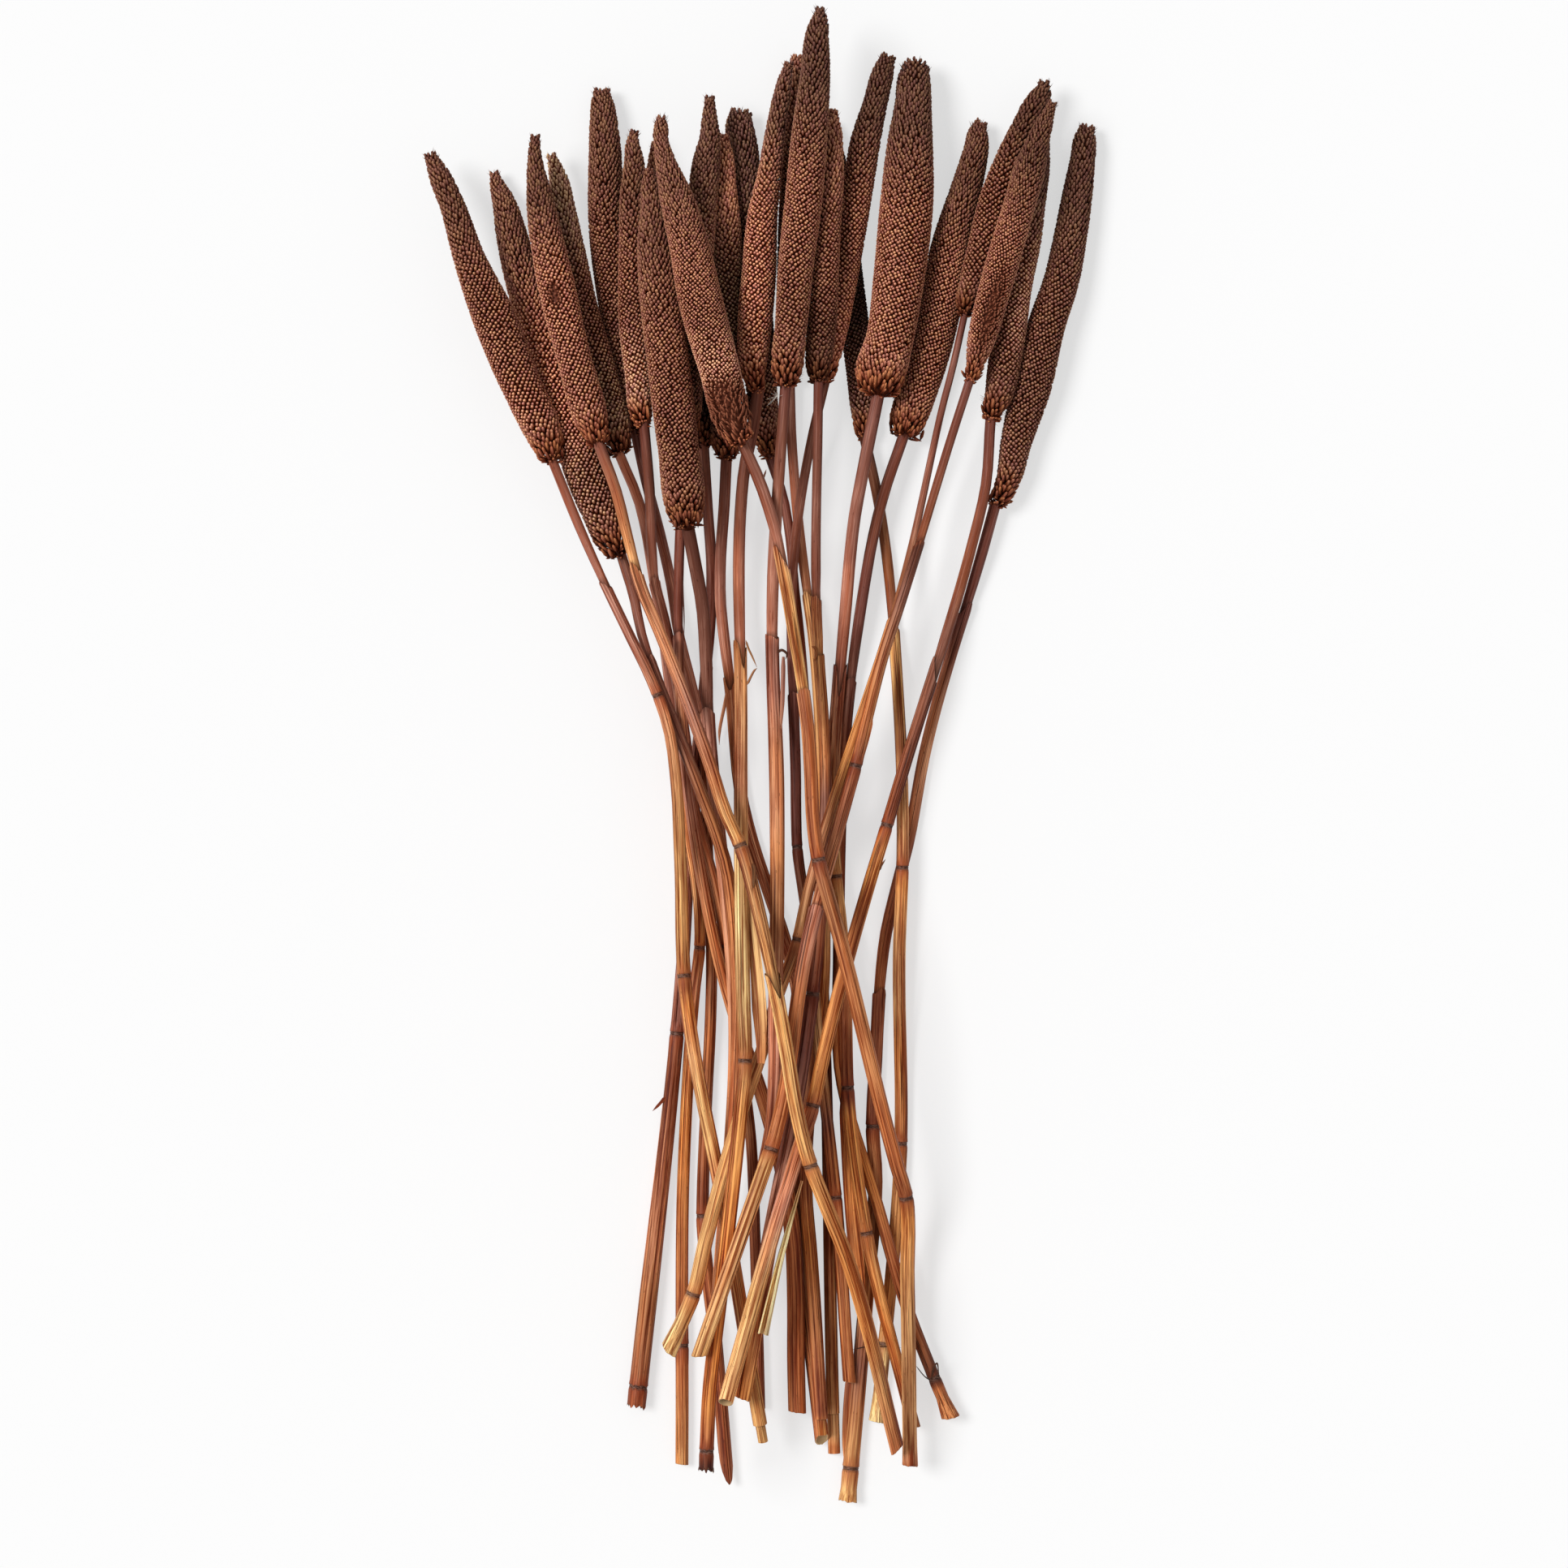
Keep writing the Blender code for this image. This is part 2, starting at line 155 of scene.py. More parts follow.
def makePiece(name, parts, material, crisp=None):
    # one mesh object of all the parts, with their marks as point attributes
    first = np.cumsum([0] + [len(part["points"]) for part in parts])
    blocks = [face + start for part, start in zip(parts, first) for face in part["faces"]]
    corners = np.concatenate([block.ravel() for block in blocks]).astype(np.int32)
    sizes = np.concatenate([np.full(len(block), block.shape[1]) for block in blocks])
    mesh = bpy.data.meshes.new(name)
    mesh.vertices.add(first[-1])
    mesh.vertices.foreach_set("co", np.concatenate([part["points"] for part in parts]).ravel())
    mesh.loops.add(len(corners))
    mesh.loops.foreach_set("vertex_index", corners)
    mesh.polygons.add(len(sizes))
    mesh.polygons.foreach_set("loop_start", np.cumsum(sizes) - sizes)
    mesh.update(calc_edges=True)
    for mark in parts[0]["marks"]:
        values = np.concatenate([part["marks"][mark] for part in parts]).astype(np.float32)
        kind, field = ("FLOAT", "value") if values.ndim == 1 else ("FLOAT_VECTOR", "vector")
        mesh.attributes.new(mark, kind, "POINT").data.foreach_set(field, values.ravel())
    mesh.shade_smooth()
    if crisp:
        mesh.set_sharp_from_angle(angle=np.radians(crisp))
    mesh.materials.append(material)
    piece = bpy.data.objects.new(name, mesh)
    bpy.context.scene.collection.objects.link(piece)
    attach(piece, "root")
    return piece


# shader helpers

def addNode(tree, kind, **settings):
    # a shader node of a kind, with its settings
    node = tree.nodes.new("ShaderNode" + kind)
    for name, value in settings.items():
        setattr(node, name, value)
    return node


def feed(tree, socket, value):
    # link a socket to another, or set its value
    if isinstance(value, bpy.types.NodeSocket):
        tree.links.new(value, socket)
    else:
        socket.default_value = value


def mathNode(tree, operation, a, b=0.0):
    # the result of an operation on two values or sockets
    node = addNode(tree, "Math", operation=operation)
    feed(tree, node.inputs[0], a)
    feed(tree, node.inputs[1], b)
    return node.outputs[0]


def product(tree, a, b):
    # a times b
    return mathNode(tree, "MULTIPLY", a, b)


def total(tree, *values):
    # all the values added up
    result = values[0]
    for value in values[1:]:
        result = mathNode(tree, "ADD", result, value)
    return result


def centred(tree, value, amount):
    # how far a value lies from one half, times an amount
    return product(tree, mathNode(tree, "SUBTRACT", value, 0.5), amount)


def mixColour(tree, amount, a, b, blend="MIX"):
    # colour a where the amount is 0 and b where it is 1, or a blended with b by another rule
    node = addNode(tree, "Mix", data_type="RGBA", blend_type=blend)
    feed(tree, node.inputs["Factor"], amount)
    feed(tree, node.inputs["A"], a)
    feed(tree, node.inputs["B"], b)
    return node.outputs["Result"]


def timesColour(tree, colour, tint):
    # a colour times a tint, channel by channel
    return mixColour(tree, 1.0, colour, (*tint, 1.0), "MULTIPLY")


def spread(tree, value, low, high):
    # 0 at low and 1 at high, with a smooth step between
    node = addNode(tree, "MapRange", interpolation_type="SMOOTHSTEP")
    for socket, given in zip(node.inputs, (value, low, high, 0.0, 1.0)):
        feed(tree, socket, given)
    return node.outputs[0]


def scaled(tree, vector, scales):
    # a vector times three scales
    node = addNode(tree, "VectorMath", operation="MULTIPLY")
    feed(tree, node.inputs[0], vector)
    node.inputs[1].default_value = scales
    return node.outputs[0]


def noiseOn(tree, place, scales, detail=2.0, roughness=0.55):
    # noise on a place stretched by three scales, per metre
    noise = addNode(tree, "TexNoise")
    feed(tree, noise.inputs["Vector"], scaled(tree, place, scales))
    noise.inputs["Scale"].default_value = 1.0
    noise.inputs["Detail"].default_value = detail
    noise.inputs["Roughness"].default_value = roughness
    return noise.outputs["Fac"]


def rampOf(tree, value, stops):
    # colours by a value: stops are (place from 0 to 1, colour), straight mixes between them
    ramp = addNode(tree, "ValToRGB")
    feed(tree, ramp.inputs[0], value)
    points = ramp.color_ramp.elements
    while len(points) < len(stops):
        points.new(1.0)
    for point, (place, colour) in zip(points, stops):
        point.position = place
        point.color = (*colour, 1.0)
    return ramp.outputs[0]


def markOf(tree, name, output="Fac"):
    # a mark of the mesh, read as a number or as a Vector
    return addNode(tree, "Attribute", attribute_name=name).outputs[output]


def newGroup(name, inputs):
    # an empty shader group that puts out a colour, a roughness and a height; inputs are
    # name: default, where a number is a value, three numbers a vector and four a colour
    tree = bpy.data.node_groups.new(name, "ShaderNodeTree")
    kinds = {1: "NodeSocketFloat", 3: "NodeSocketVector", 4: "NodeSocketColor"}
    for title, default in inputs.items():
        kind = kinds[np.size(default)]
        socket = tree.interface.new_socket(title, in_out="INPUT", socket_type=kind)
        socket.default_value = default
    for title, kind in (("Color", kinds[4]), ("Roughness", kinds[1]), ("Height", kinds[1])):
        tree.interface.new_socket(title, in_out="OUTPUT", socket_type=kind)
    return tree, tree.nodes.new("NodeGroupInput").outputs, tree.nodes.new("NodeGroupOutput").inputs


def newMaterial(name):
    # a material with the tree and the Principled shader's sockets that it starts with
    material = bpy.data.materials.new(name)
    material.use_nodes = True
    tree = material.node_tree
    return material, tree, tree.nodes["Principled BSDF"].inputs


def finishShader(tree, shader, colour, group, gloss, bump):
    # colour, the group's roughness, a gloss, and a bump of (strength, depth in mm) on its height
    feed(tree, shader["Base Color"], colour)
    feed(tree, shader["Roughness"], group.outputs["Roughness"])
    shader["Specular IOR Level"].default_value = gloss
    node = addNode(tree, "Bump")
    node.inputs["Strength"].default_value = bump[0]
    node.inputs["Distance"].default_value = bump[1] * mm
    feed(tree, node.inputs["Height"], group.outputs["Height"])
    feed(tree, shader["Normal"], node.outputs[0])


# camera, floor and light

cameraLook = dict(height=2000.0, centre=(7.8, -7.9), wide=526.0, focus=20.0, sensor=36.0)
lampLook = dict(key=dict(towards=(-0.64, 0.20, 0.88), strength=2.34, angle=24.0),
                fill=dict(towards=(0.45, -0.55, 0.70), strength=0.08, angle=60.0), sky=0.385)
floorLook = dict(colour=(0.95, 0.95, 0.95, 1.0), roughness=0.9, size=12.0, ownWhite=0.6)


def setCamera(look):
    # straight down; the lens sees a square of the given width at the height of the focus
    camera = bpy.data.objects.new("camera", bpy.data.cameras.new("camera"))
    bpy.context.scene.collection.objects.link(camera)
    camera.location = (look["centre"][0] * mm, look["centre"][1] * mm, look["height"] * mm)
    camera.data.sensor_width = look["sensor"]
    camera.data.lens = look["sensor"] * (look["height"] - look["focus"]) / look["wide"]
    bpy.context.scene.camera = camera


def setFloor(look):
    # white paper: it is diffuse, and part of what the camera sees of it is its own white
    half = look["size"] / 2
    mesh = bpy.data.meshes.new("floor")
    corners = [(-half, -half, 0), (half, -half, 0), (half, half, 0), (-half, half, 0)]
    mesh.from_pydata(corners, [], [(0, 1, 2, 3)])
    material, tree, shader = newMaterial("floorPaper")
    shader["Base Color"].default_value = look["colour"]
    shader["Roughness"].default_value = look["roughness"]
    glow = addNode(tree, "Emission")
    glow.inputs["Strength"].default_value = 1.0
    mix = addNode(tree, "MixShader")
    seen = product(tree, addNode(tree, "LightPath").outputs["Is Camera Ray"], look["ownWhite"])
    feed(tree, mix.inputs[0], seen)
    feed(tree, mix.inputs[1], tree.nodes["Principled BSDF"].outputs[0])
    feed(tree, mix.inputs[2], glow.outputs[0])
    feed(tree, tree.nodes["Material Output"].inputs["Surface"], mix.outputs[0])
    mesh.materials.append(material)
    floor = bpy.data.objects.new("floor", mesh)
    bpy.context.scene.collection.objects.link(floor)


def setLight(look):
    # two wide, far lamps and an even sky; white paper under them all comes out white
    for name in ("key", "fill"):
        lamp = bpy.data.objects.new(name, bpy.data.lights.new(name, "SUN"))
        bpy.context.scene.collection.objects.link(lamp)
        lamp.location = look[name]["towards"]
        lamp.data.energy = look[name]["strength"]
        lamp.data.angle = np.radians(look[name]["angle"])
        lamp.rotation_euler = (-lamp.location).to_track_quat("-Z", "Y").to_euler()
    world = bpy.data.worlds.new("studio")
    bpy.context.scene.world = world
    world.use_nodes = True
    tree = world.node_tree
    path = addNode(tree, "LightPath").outputs
    seen = mathNode(tree, "MAXIMUM", path["Is Camera Ray"], path["Is Transmission Ray"])
    seen = mathNode(tree, "MAXIMUM", seen, path["Is Glossy Ray"])
    background = tree.nodes["Background"].inputs
    background["Color"].default_value = (1.0, 1.0, 1.0, 1.0)
    white = product(tree, seen, 1.0 - look["sky"])  # what looks straight at the sky sees white
    feed(tree, background["Strength"], total(tree, white, look["sky"]))


bpy.context.scene.view_settings.view_transform = "Standard"
setCamera(cameraLook)
setFloor(floorLook)
setLight(lampLook)
print("camera, floor and light are set")


# seed heads

# how grains sit from the tip (0) to the neck (1) of any head: spacing, lean from straight out
# towards the tip in degrees, and length; wide is a share of the spacing and thick of the width.
# Grains that face up by more than fullAbove have all their faces, those under sideAbove fewest
grainLook = dict(
    share=[0.0, 0.10, 0.26, 0.42, 0.60, 0.84, 0.93, 1.0],
    spacing=[1.40, 1.50, 1.46, 1.33, 1.29, 1.38, 1.66, 1.90],
    lean=[72, 72, 64, 42, 27, 32, 50, 60],
    length=[2.0, 3.0, 2.9, 2.0, 1.6, 2.0, 3.7, 5.0],
    wide=[0.43, 0.42, 0.44, 0.51, 0.53, 0.52, 0.45, 0.38],
    thick=0.95, proud=0.12, first=0.9, last=0.2, steps=400, deepest=0.30, fullAbove=0.4,
    sideAbove=-0.25, floor=0.02)

# how uneven the grains are: whole rows drift, single grains scatter, the lowest ones are loose
# and those in a rub lie every way; mm, radians (lean in degrees) or shares
unevenLook = dict(
    driftWaves=6, driftReach=260, driftPlace=0.17, driftTurn=0.028, place=0.095, turn=0.014,
    size=(0.90, 1.10), lean=3.5, skew=0.06, lumps=0.03, lumpWaves=5, lumpReach=120,
    shortShare=0.035, short=(0.6, 0.85), lowFrom=0.93, lowRun=0.07, lowLean=11, lowLength=0.22,
    wornLean=(12, 14), wornSkew=0.35, wornThin=0.40)

tipLook = dict(length=1.9, size=(0.8, 1.1), half=0.6, thick=0.55, fill=0.85, fan=0.5, scatter=0.1,
               fewest=4)
petalLook = dict(count=34, place=(0.6, 3.0), lean=(-12, 42), reach=(0.72, 1.12), over=3.5,
                 root=0.25, scatter=0.15, half=(0.42, 0.70), thick=0.8, lying=0.6)
# the core's rise of 0.1 gives it the painted shade of the gaps between grains
coreLook = dict(rows=44, columns=14, start=1.0, under=0.25, thinnest=0.28, rise=0.1, tone=0.5)

# bristles: a crown round the tip, a few down the sides and fibres where the head is frayed;
# crown places are mm and side places shares from the tip, lean is in radians
spikeLook = dict(
    root=0.7, count=20,
    crown=dict(place=(0.4, 2.6), lean=(0.7, 1.3), length=(1.7, 2.7), half=0.20),
    sides=dict(place=(0.04, 0.85), lean=(0.3, 1.0), length=(1.2, 1.8), half=0.13),
    fray=dict(place=1.6, turn=22, lean=(-0.7, 0.8), length=(1.6, 3.2), half=0.10))

# colours from the tip to the neck with a shade for each, a brightness fitted to how light that part
# looks, so it holds painted light and shade as well as the head's own tone; and what is special:
# fine, the size of its grains; rubs, worn patches by y, length, side and width; frays, fibres by y,
# side and number
headLook = {
    1: dict(top="red", middle="red", low="red", shade=(0.51, 0.96, 1.18)),
    2: dict(top="red", middle="red", low="rose", shade=(0.61, 1.80, 0.94)),
    3: dict(top="red", middle="red", low="red", shade=(0.45, 1.39, 1.20),
        rubs=[dict(y=155, long=4, at=100, wide=25)]),
    4: dict(top="tawny", middle="russet", low="tawny", shade=(0.86, 1.11, 0.82)),
    5: dict(top="red", middle="red", low="russet", shade=(0.52, 0.87, 1.00)),
    6: dict(top="red", middle="red", low="rose", shade=(0.52, 0.93, 1.41),
        frays=[(114, 10, 12)]),
    7: dict(top="red", middle="red", low="red", shade=(0.59, 0.95, 0.83)),
    8: dict(top="red", middle="red", low="rose", shade=(0.65, 1.13, 1.58), fine=0.86,
        rubs=[dict(y=116, long=11, at=90, wide=160)]),
    9: dict(top="russet", middle="rose", low="russet", shade=(0.61, 1.00, 1.00)),
    10: dict(top="red", middle="tawny", low="umber", shade=(1.38, 0.68, 1.00),
        frays=[(106, 150, 14)]),
    11: dict(top="umber", middle="umber", low="rose", shade=(1.05, 1.00, 0.92)),
    12: dict(top="russet", middle="red", low="red", shade=(0.74, 1.56, 1.90)),
    13: dict(top="red", middle="russet", low="russet", shade=(0.78, 1.00, 1.00)),
    14: dict(top="russet", middle="red", low="red", shade=(0.53, 1.07, 0.89),
        frays=[(129, -10, 16)]),
    15: dict(top="red", middle="red", low="red", shade=(1.05, 0.91, 0.46)),
    16: dict(top="russet", middle="red", low="red", shade=(0.49, 1.08, 1.76)),
    17: dict(top="russet", middle="red", low="red", shade=(0.59, 1.22, 1.26)),
    # head 18 lies under others: its dark and dusk colours are painted shade
    18: dict(top="dark", middle="dark", low="dusk", shade=(1.00, 1.00, 1.11)),
    19: dict(top="red", middle="red", low="red", shade=(0.48, 1.20, 1.15), fine=0.92),
    20: dict(top="red", middle="red", low="red", shade=(0.35, 0.84, 0.74)),
    21: dict(top="red", middle="red", low="red", shade=(0.40, 1.14, 1.17), fine=0.84,
        rubs=[dict(y=149, long=16, at=75, wide=38)]),
    22: dict(top="umber", middle="rose", low="russet", shade=(1.00, 1.24, 1.03),
        frays=[(118, 200, 18), (116, 330, 14)]),
    23: dict(top="russet", middle="russet", low="russet", shade=(0.58, 0.90, 0.94),
        frays=[(122, 150, 14)]),
    # head 24 lies under others: its umber and dark colours are painted shade
    24: dict(top="red", middle="umber", low="dark", shade=(1.00, 1.00, 1.00))}

# grain colours: painted shade between the grains, their own colour on their sides, and a painted
# highlight at their bright ends
grainColoursAndPaintedLight = dict(
    tawny=((0.040, 0.006, 0.002), (0.135, 0.026, 0.007), (0.820, 0.492, 0.325)),
    rose=((0.038, 0.006, 0.002), (0.130, 0.024, 0.007), (0.760, 0.402, 0.275)),
    red=((0.034, 0.005, 0.001), (0.122, 0.020, 0.006), (0.690, 0.315, 0.205)),
    russet=((0.028, 0.005, 0.002), (0.090, 0.017, 0.005), (0.510, 0.241, 0.166)),
    # dusk, umber and dark are darker copies that paint shade, mostly onto heads lying under others
    dusk=((0.024, 0.005, 0.002), (0.080, 0.018, 0.007), (0.440, 0.225, 0.166)),
    umber=((0.017, 0.004, 0.002), (0.055, 0.013, 0.005), (0.310, 0.155, 0.114)),
    dark=((0.010, 0.003, 0.002), (0.028, 0.008, 0.004), (0.155, 0.080, 0.062)),
    collar=((0.034, 0.006, 0.002), (0.110, 0.021, 0.008), (0.480, 0.165, 0.080)))


def grainForm(sides, rings):
    # a grain of unit length and half width: a point, rings of (height, width), and a point
    turn = evenTurns(sides) - circle / 4
    height, width = np.array(rings).T
    form = np.zeros((len(rings), sides, 3))
    form[:, :, 0] = width[:, None] * np.cos(turn)
    form[:, :, 1] = width[:, None] * np.sin(turn)
    form[:, :, 2] = height[:, None]
    form = np.concatenate([[[0, 0, 0]], form.reshape(-1, 3), [[0, 0, 1]]])
    k = np.arange(sides)
    after = (k + 1) % sides
    foot = np.stack([np.zeros_like(k), after + 1, k + 1], axis=1)
    last = 1 + (len(rings) - 1) * sides
    crown = np.stack([last + k, last + after, np.full_like(k, last + sides)], axis=1)
    quads = tubeFaces(len(rings), sides)[0] + 1 if len(rings) > 1 else np.empty((0, 4), int)
    return form, np.concatenate([foot, crown]), quads


# grains that face up, sideways and down, a bristle, and the painted shade and painted highlight
# at each height of a grain
fullGrain = grainForm(5, [(0.45, 1.0), (0.84, 0.74)])
sideGrain = grainForm(4, [(0.45, 1.0), (0.84, 0.74)])
plainGrain = grainForm(3, [(0.60, 1.1)])
bristle = grainForm(3, [(0.10, 1.0)])
shineOf = dict(height=(0, 0.45, 0.60, 0.84, 1.0), shine=(0.0, 0.12, 0.18, 0.42, 1.0), crest=0.42)


def plant(form, root, axis, side, length, wide, thick, lying=0.0, **marks):
    # a copy of the form on every root: root + axis x length x height + the two half widths; the rise
    # mark is painted light: a painted shade at the foot that rises to a painted highlight at the point,
    # and to the outer side of a grain that is lying down
    shape, tris, quads = form
    other = np.cross(axis, side)
    points = (root[:, None] + axis[:, None] * (length[:, None] * shape[:, 2])[..., None]
              + side[:, None] * (wide[:, None] * shape[:, 0])[..., None]
              + other[:, None] * (thick[:, None] * shape[:, 1])[..., None])
    first = (np.arange(len(root)) * len(shape))[:, None, None]
    faces = [(tris[None] + first).reshape(-1, 3)]
    if len(quads):
        faces.append((quads[None] + first).reshape(-1, 4))
    marks = {name: np.repeat(value, len(shape)) for name, value in marks.items()}
    shine = np.interp(shape[:, 2], shineOf["height"], shineOf["shine"])
    shine = shine - shineOf["crest"] * (np.ones(len(root)) * lying)[:, None] * shape[:, 1]
    return makePart(points, faces, rise=np.clip(shine, 0, 1).ravel(), **marks)


def girthOf(rings, y):
    # a head's radius at y: the cubic curve through its rings' radii, held at both ends
    return through(rings["y"], rings["radius"], np.clip(y, rings["y"][0], rings["y"][-1]))


def ofShare(name, share):
    # a row of grainLook at a share of the way from the tip to the neck
    return np.interp(share, grainLook["share"], grainLook[name])


def wornAt(rubs, y, turn):
    # 1 in the middle of a rub, 0 outside it: a flat-topped bell in y and turn
    worn = np.zeros(np.broadcast(y, turn).shape)
    for rub in rubs:
        apart = turnApart(turn, np.radians(rub["at"]))
        spot = ((y / mm - rub["y"]) / rub["long"]) ** 2 + (apart / np.radians(rub["wide"])) ** 2
        worn = np.maximum(worn, np.exp(-spot**2))
    return worn


def growGrains(rings, dice, fine, rubs):
    # grains stand on a golden angle spiral; their number per length is the girth over a cell
    tip, run = rings["y"][-1], rings["y"][-1] - rings["y"][0]
    loose = unevenLook
    ladder = np.linspace(grainLook["first"] * mm, run - grainLook["last"] * mm, grainLook["steps"])
    cell = hexagonShare * (ofShare("spacing", ladder / run) * fine * mm) ** 2
    tally = np.cumsum(circle * girthOf(rings, tip - ladder) * (ladder[1] - ladder[0]) / cell)
    place = np.interp(np.arange(0.5, tally[-1]), tally, ladder)
    count = len(place)
    turn = goldenTurn * np.arange(count) + dice.normal(0, loose["turn"], count)
    drift, twist = (waves(dice, loose["driftWaves"], loose["driftReach"]) for k in range(2))
    place, turn = (place + loose["driftPlace"] * mm * drift(turn, place),
                   turn + loose["driftTurn"] * twist(turn, place))
    place = place + dice.normal(0, loose["place"], count) * mm
    share = np.clip(place / run, 0, 1)
    y = tip - place
    worn = wornAt(rubs, y, turn)
    lowest = np.clip((share - loose["lowFrom"]) / loose["lowRun"], 0, 1)
    length = ofShare("length", share) * fine**0.5 * mm * dice.uniform(*loose["size"], count)
    length = length * (1 + loose["lowLength"] * lowest * dice.normal(0, 1, count))
    lean = (loose["lean"] + loose["lowLean"] * lowest) * dice.normal(0, 1, count)
    lean = lean + worn * dice.normal(*loose["wornLean"], count)
    lean = np.radians(ofShare("lean", share) + lean)

    # each grain's outer end reaches the girth, so its root lies as deep as its length asks
    centre, along, across, up = follow(rings, y)
    outward = outwardAt(across, up, turn)
    side = np.cross(along, outward)
    lumps = 1 + loose["lumps"] * waves(dice, loose["lumpWaves"], loose["lumpReach"])(turn, place)
    reach = girthOf(rings, y + length * np.sin(lean)) * lumps + grainLook["proud"] * mm
    short = dice.random(count) < loose["shortShare"]
    short = np.where(short, dice.uniform(*loose["short"], count), 1.0)
    anchor = np.maximum(reach - length * np.cos(lean), grainLook["deepest"] * girthOf(rings, y))
    root = centre + outward * anchor[:, None]
    skew = dice.normal(0, loose["skew"], count) + worn * dice.normal(0, loose["wornSkew"], count)
    axis = unit(leanAlong(outward, along, lean) + side * skew[:, None])
    side = squareTo(axis, side)
    wide = ofShare("wide", share) * ofShare("spacing", share) * fine * mm
    wide = wide * dice.uniform(*loose["size"], count) * (1 - loose["wornThin"] * worn)
    tone = dice.random(count)
    height = outward[:, 2]
    full, least = height > grainLook["fullAbove"], height <= grainLook["sideAbove"]
    parts = []
    for form, on in ((fullGrain, full), (sideGrain, ~full & ~least), (plainGrain, least)):
        parts.append(plant(form, root[on], axis[on], side[on], (length * short)[on], wide[on],
                           wide[on] * grainLook["thick"], np.sin(lean[on]) ** 2,
                           tone=tone[on], along=share[on], worn=worn[on]))
    return parts, cell[0]


def closeTip(rings, dice, cell):
    # more grains close the tip, facing forwards on a sunflower disc: radius as root of the count
    tip = rings["y"][-1]
    tipRadius = girthOf(rings, np.array([tip]))[0]
    count = max(tipLook["fewest"], int(np.pi * tipRadius**2 / cell))
    k = np.arange(count)
    radius = tipRadius * np.sqrt((k + 0.5) / count) * tipLook["fill"]
    centre, along, across, up = follow(rings, np.full(count, tip - tipLook["length"] * mm))
    outward = outwardAt(across, up, goldenTurn * k)
    fan = radius / tipRadius * tipLook["fan"] + dice.normal(0, tipLook["scatter"], count)
    axis = unit(along + outward * fan[:, None])
    length = np.full(count, tipLook["length"] * mm) * dice.uniform(*tipLook["size"], count)
    return plant(fullGrain, centre + outward * radius[:, None], axis, unit(np.cross(axis, up)),
                 length, np.full(count, tipLook["half"] * mm), np.full(count, tipLook["thick"] * mm),
                 tone=dice.random(count), along=np.zeros(count), worn=np.zeros(count))


def spikeAt(rings, place, turn, lean, length, half, share):
    # thin bristles from under the grains, leaning towards the tip; place is from the tip
    y = rings["y"][-1] - place
    centre, along, across, up = follow(rings, y)
    outward = outwardAt(across, up, turn)
    axis = unit(leanAlong(outward, along, lean))
    root = centre + outward * (girthOf(rings, y) - spikeLook["root"] * mm)[:, None]
    none, half = np.zeros(len(place)), np.full(len(place), half * mm)
    return plant(bristle, root, axis, unit(np.cross(axis, outward)), length * mm, half, half,
                 tone=none, along=none + share, worn=none)


def growSpikes(rings, dice, frays):
    # the crown and the sides draw places evenly, and a fray scatters them round its own
    tip, run = rings["y"][-1], rings["y"][-1] - rings["y"][0]
    count = spikeLook["count"]
    parts = []
    for look, whole in ((spikeLook["crown"], mm), (spikeLook["sides"], run)):
        parts.append(spikeAt(rings, dice.uniform(*look["place"], count) * whole,
                             dice.uniform(0, circle, count), dice.uniform(*look["lean"], count),
                             dice.uniform(*look["length"], count), look["half"], 0))
    look = spikeLook["fray"]
    for at, facing, count in frays:
        place = tip - (at + dice.normal(0, look["place"], count)) * mm
        turn = np.radians(facing + dice.normal(0, look["turn"], count))
        parts.append(spikeAt(rings, place, turn, dice.uniform(*look["lean"], count),
                             dice.uniform(*look["length"], count), look["half"], 1))
    return parts


def growPetals(rings, dice):
    # husks round the neck that stand out sideways under the last grains, on a golden angle
    # spiral; each is as long as it takes to reach its share of the girth above it
    look = petalLook
    count = look["count"]
    y = rings["y"][0] + dice.uniform(*look["place"], count) * mm
    centre, along, across, up = follow(rings, y)
    outward = outwardAt(across, up, goldenTurn * np.arange(count))
    lean = np.radians(dice.uniform(*look["lean"], count))
    root = look["root"] * girthOf(rings, y)
    reach = girthOf(rings, y + look["over"] * mm) * dice.uniform(*look["reach"], count)
    axis = unit(leanAlong(outward, along, lean))
    side = unit(np.cross(along, outward) + dice.normal(0, look["scatter"], (count, 3)))
    half = dice.uniform(*look["half"], count) * mm
    return plant(fullGrain, centre + outward * root[:, None], axis, squareTo(axis, side),
                 (reach - root) / np.cos(lean), half, half * look["thick"], look["lying"],
                 tone=dice.random(count), along=np.ones(count), worn=np.zeros(count))


def makeCore(rings, rubs):
    # a plain spindle inside the grains, dark with the gaps' painted shade: the girth less the height at
    # which grains stand
    look = coreLook
    tip, run = rings["y"][-1], rings["y"][-1] - rings["y"][0]
    y = tip - np.linspace(look["start"] * mm, run, look["rows"])
    share = (tip - y) / run
    stand = ofShare("length", share) * np.cos(np.radians(ofShare("lean", share))) * mm
    girth = girthOf(rings, y)
    radius = np.maximum(girth - stand + look["under"] * mm, look["thinnest"] * girth)
    centre, along, across, up = follow(rings, y)
    turn = evenTurns(look["columns"])
    outward = outwardAt(across[:, None], up[:, None], turn[None])
    return makePart(centre[:, None] + radius[:, None, None] * outward,
                    tubeFaces(look["rows"], look["columns"]), rise=look["rise"], tone=look["tone"],
                    along=np.repeat(share, look["columns"]),
                    worn=wornAt(rubs, y[:, None], turn[None]).ravel())


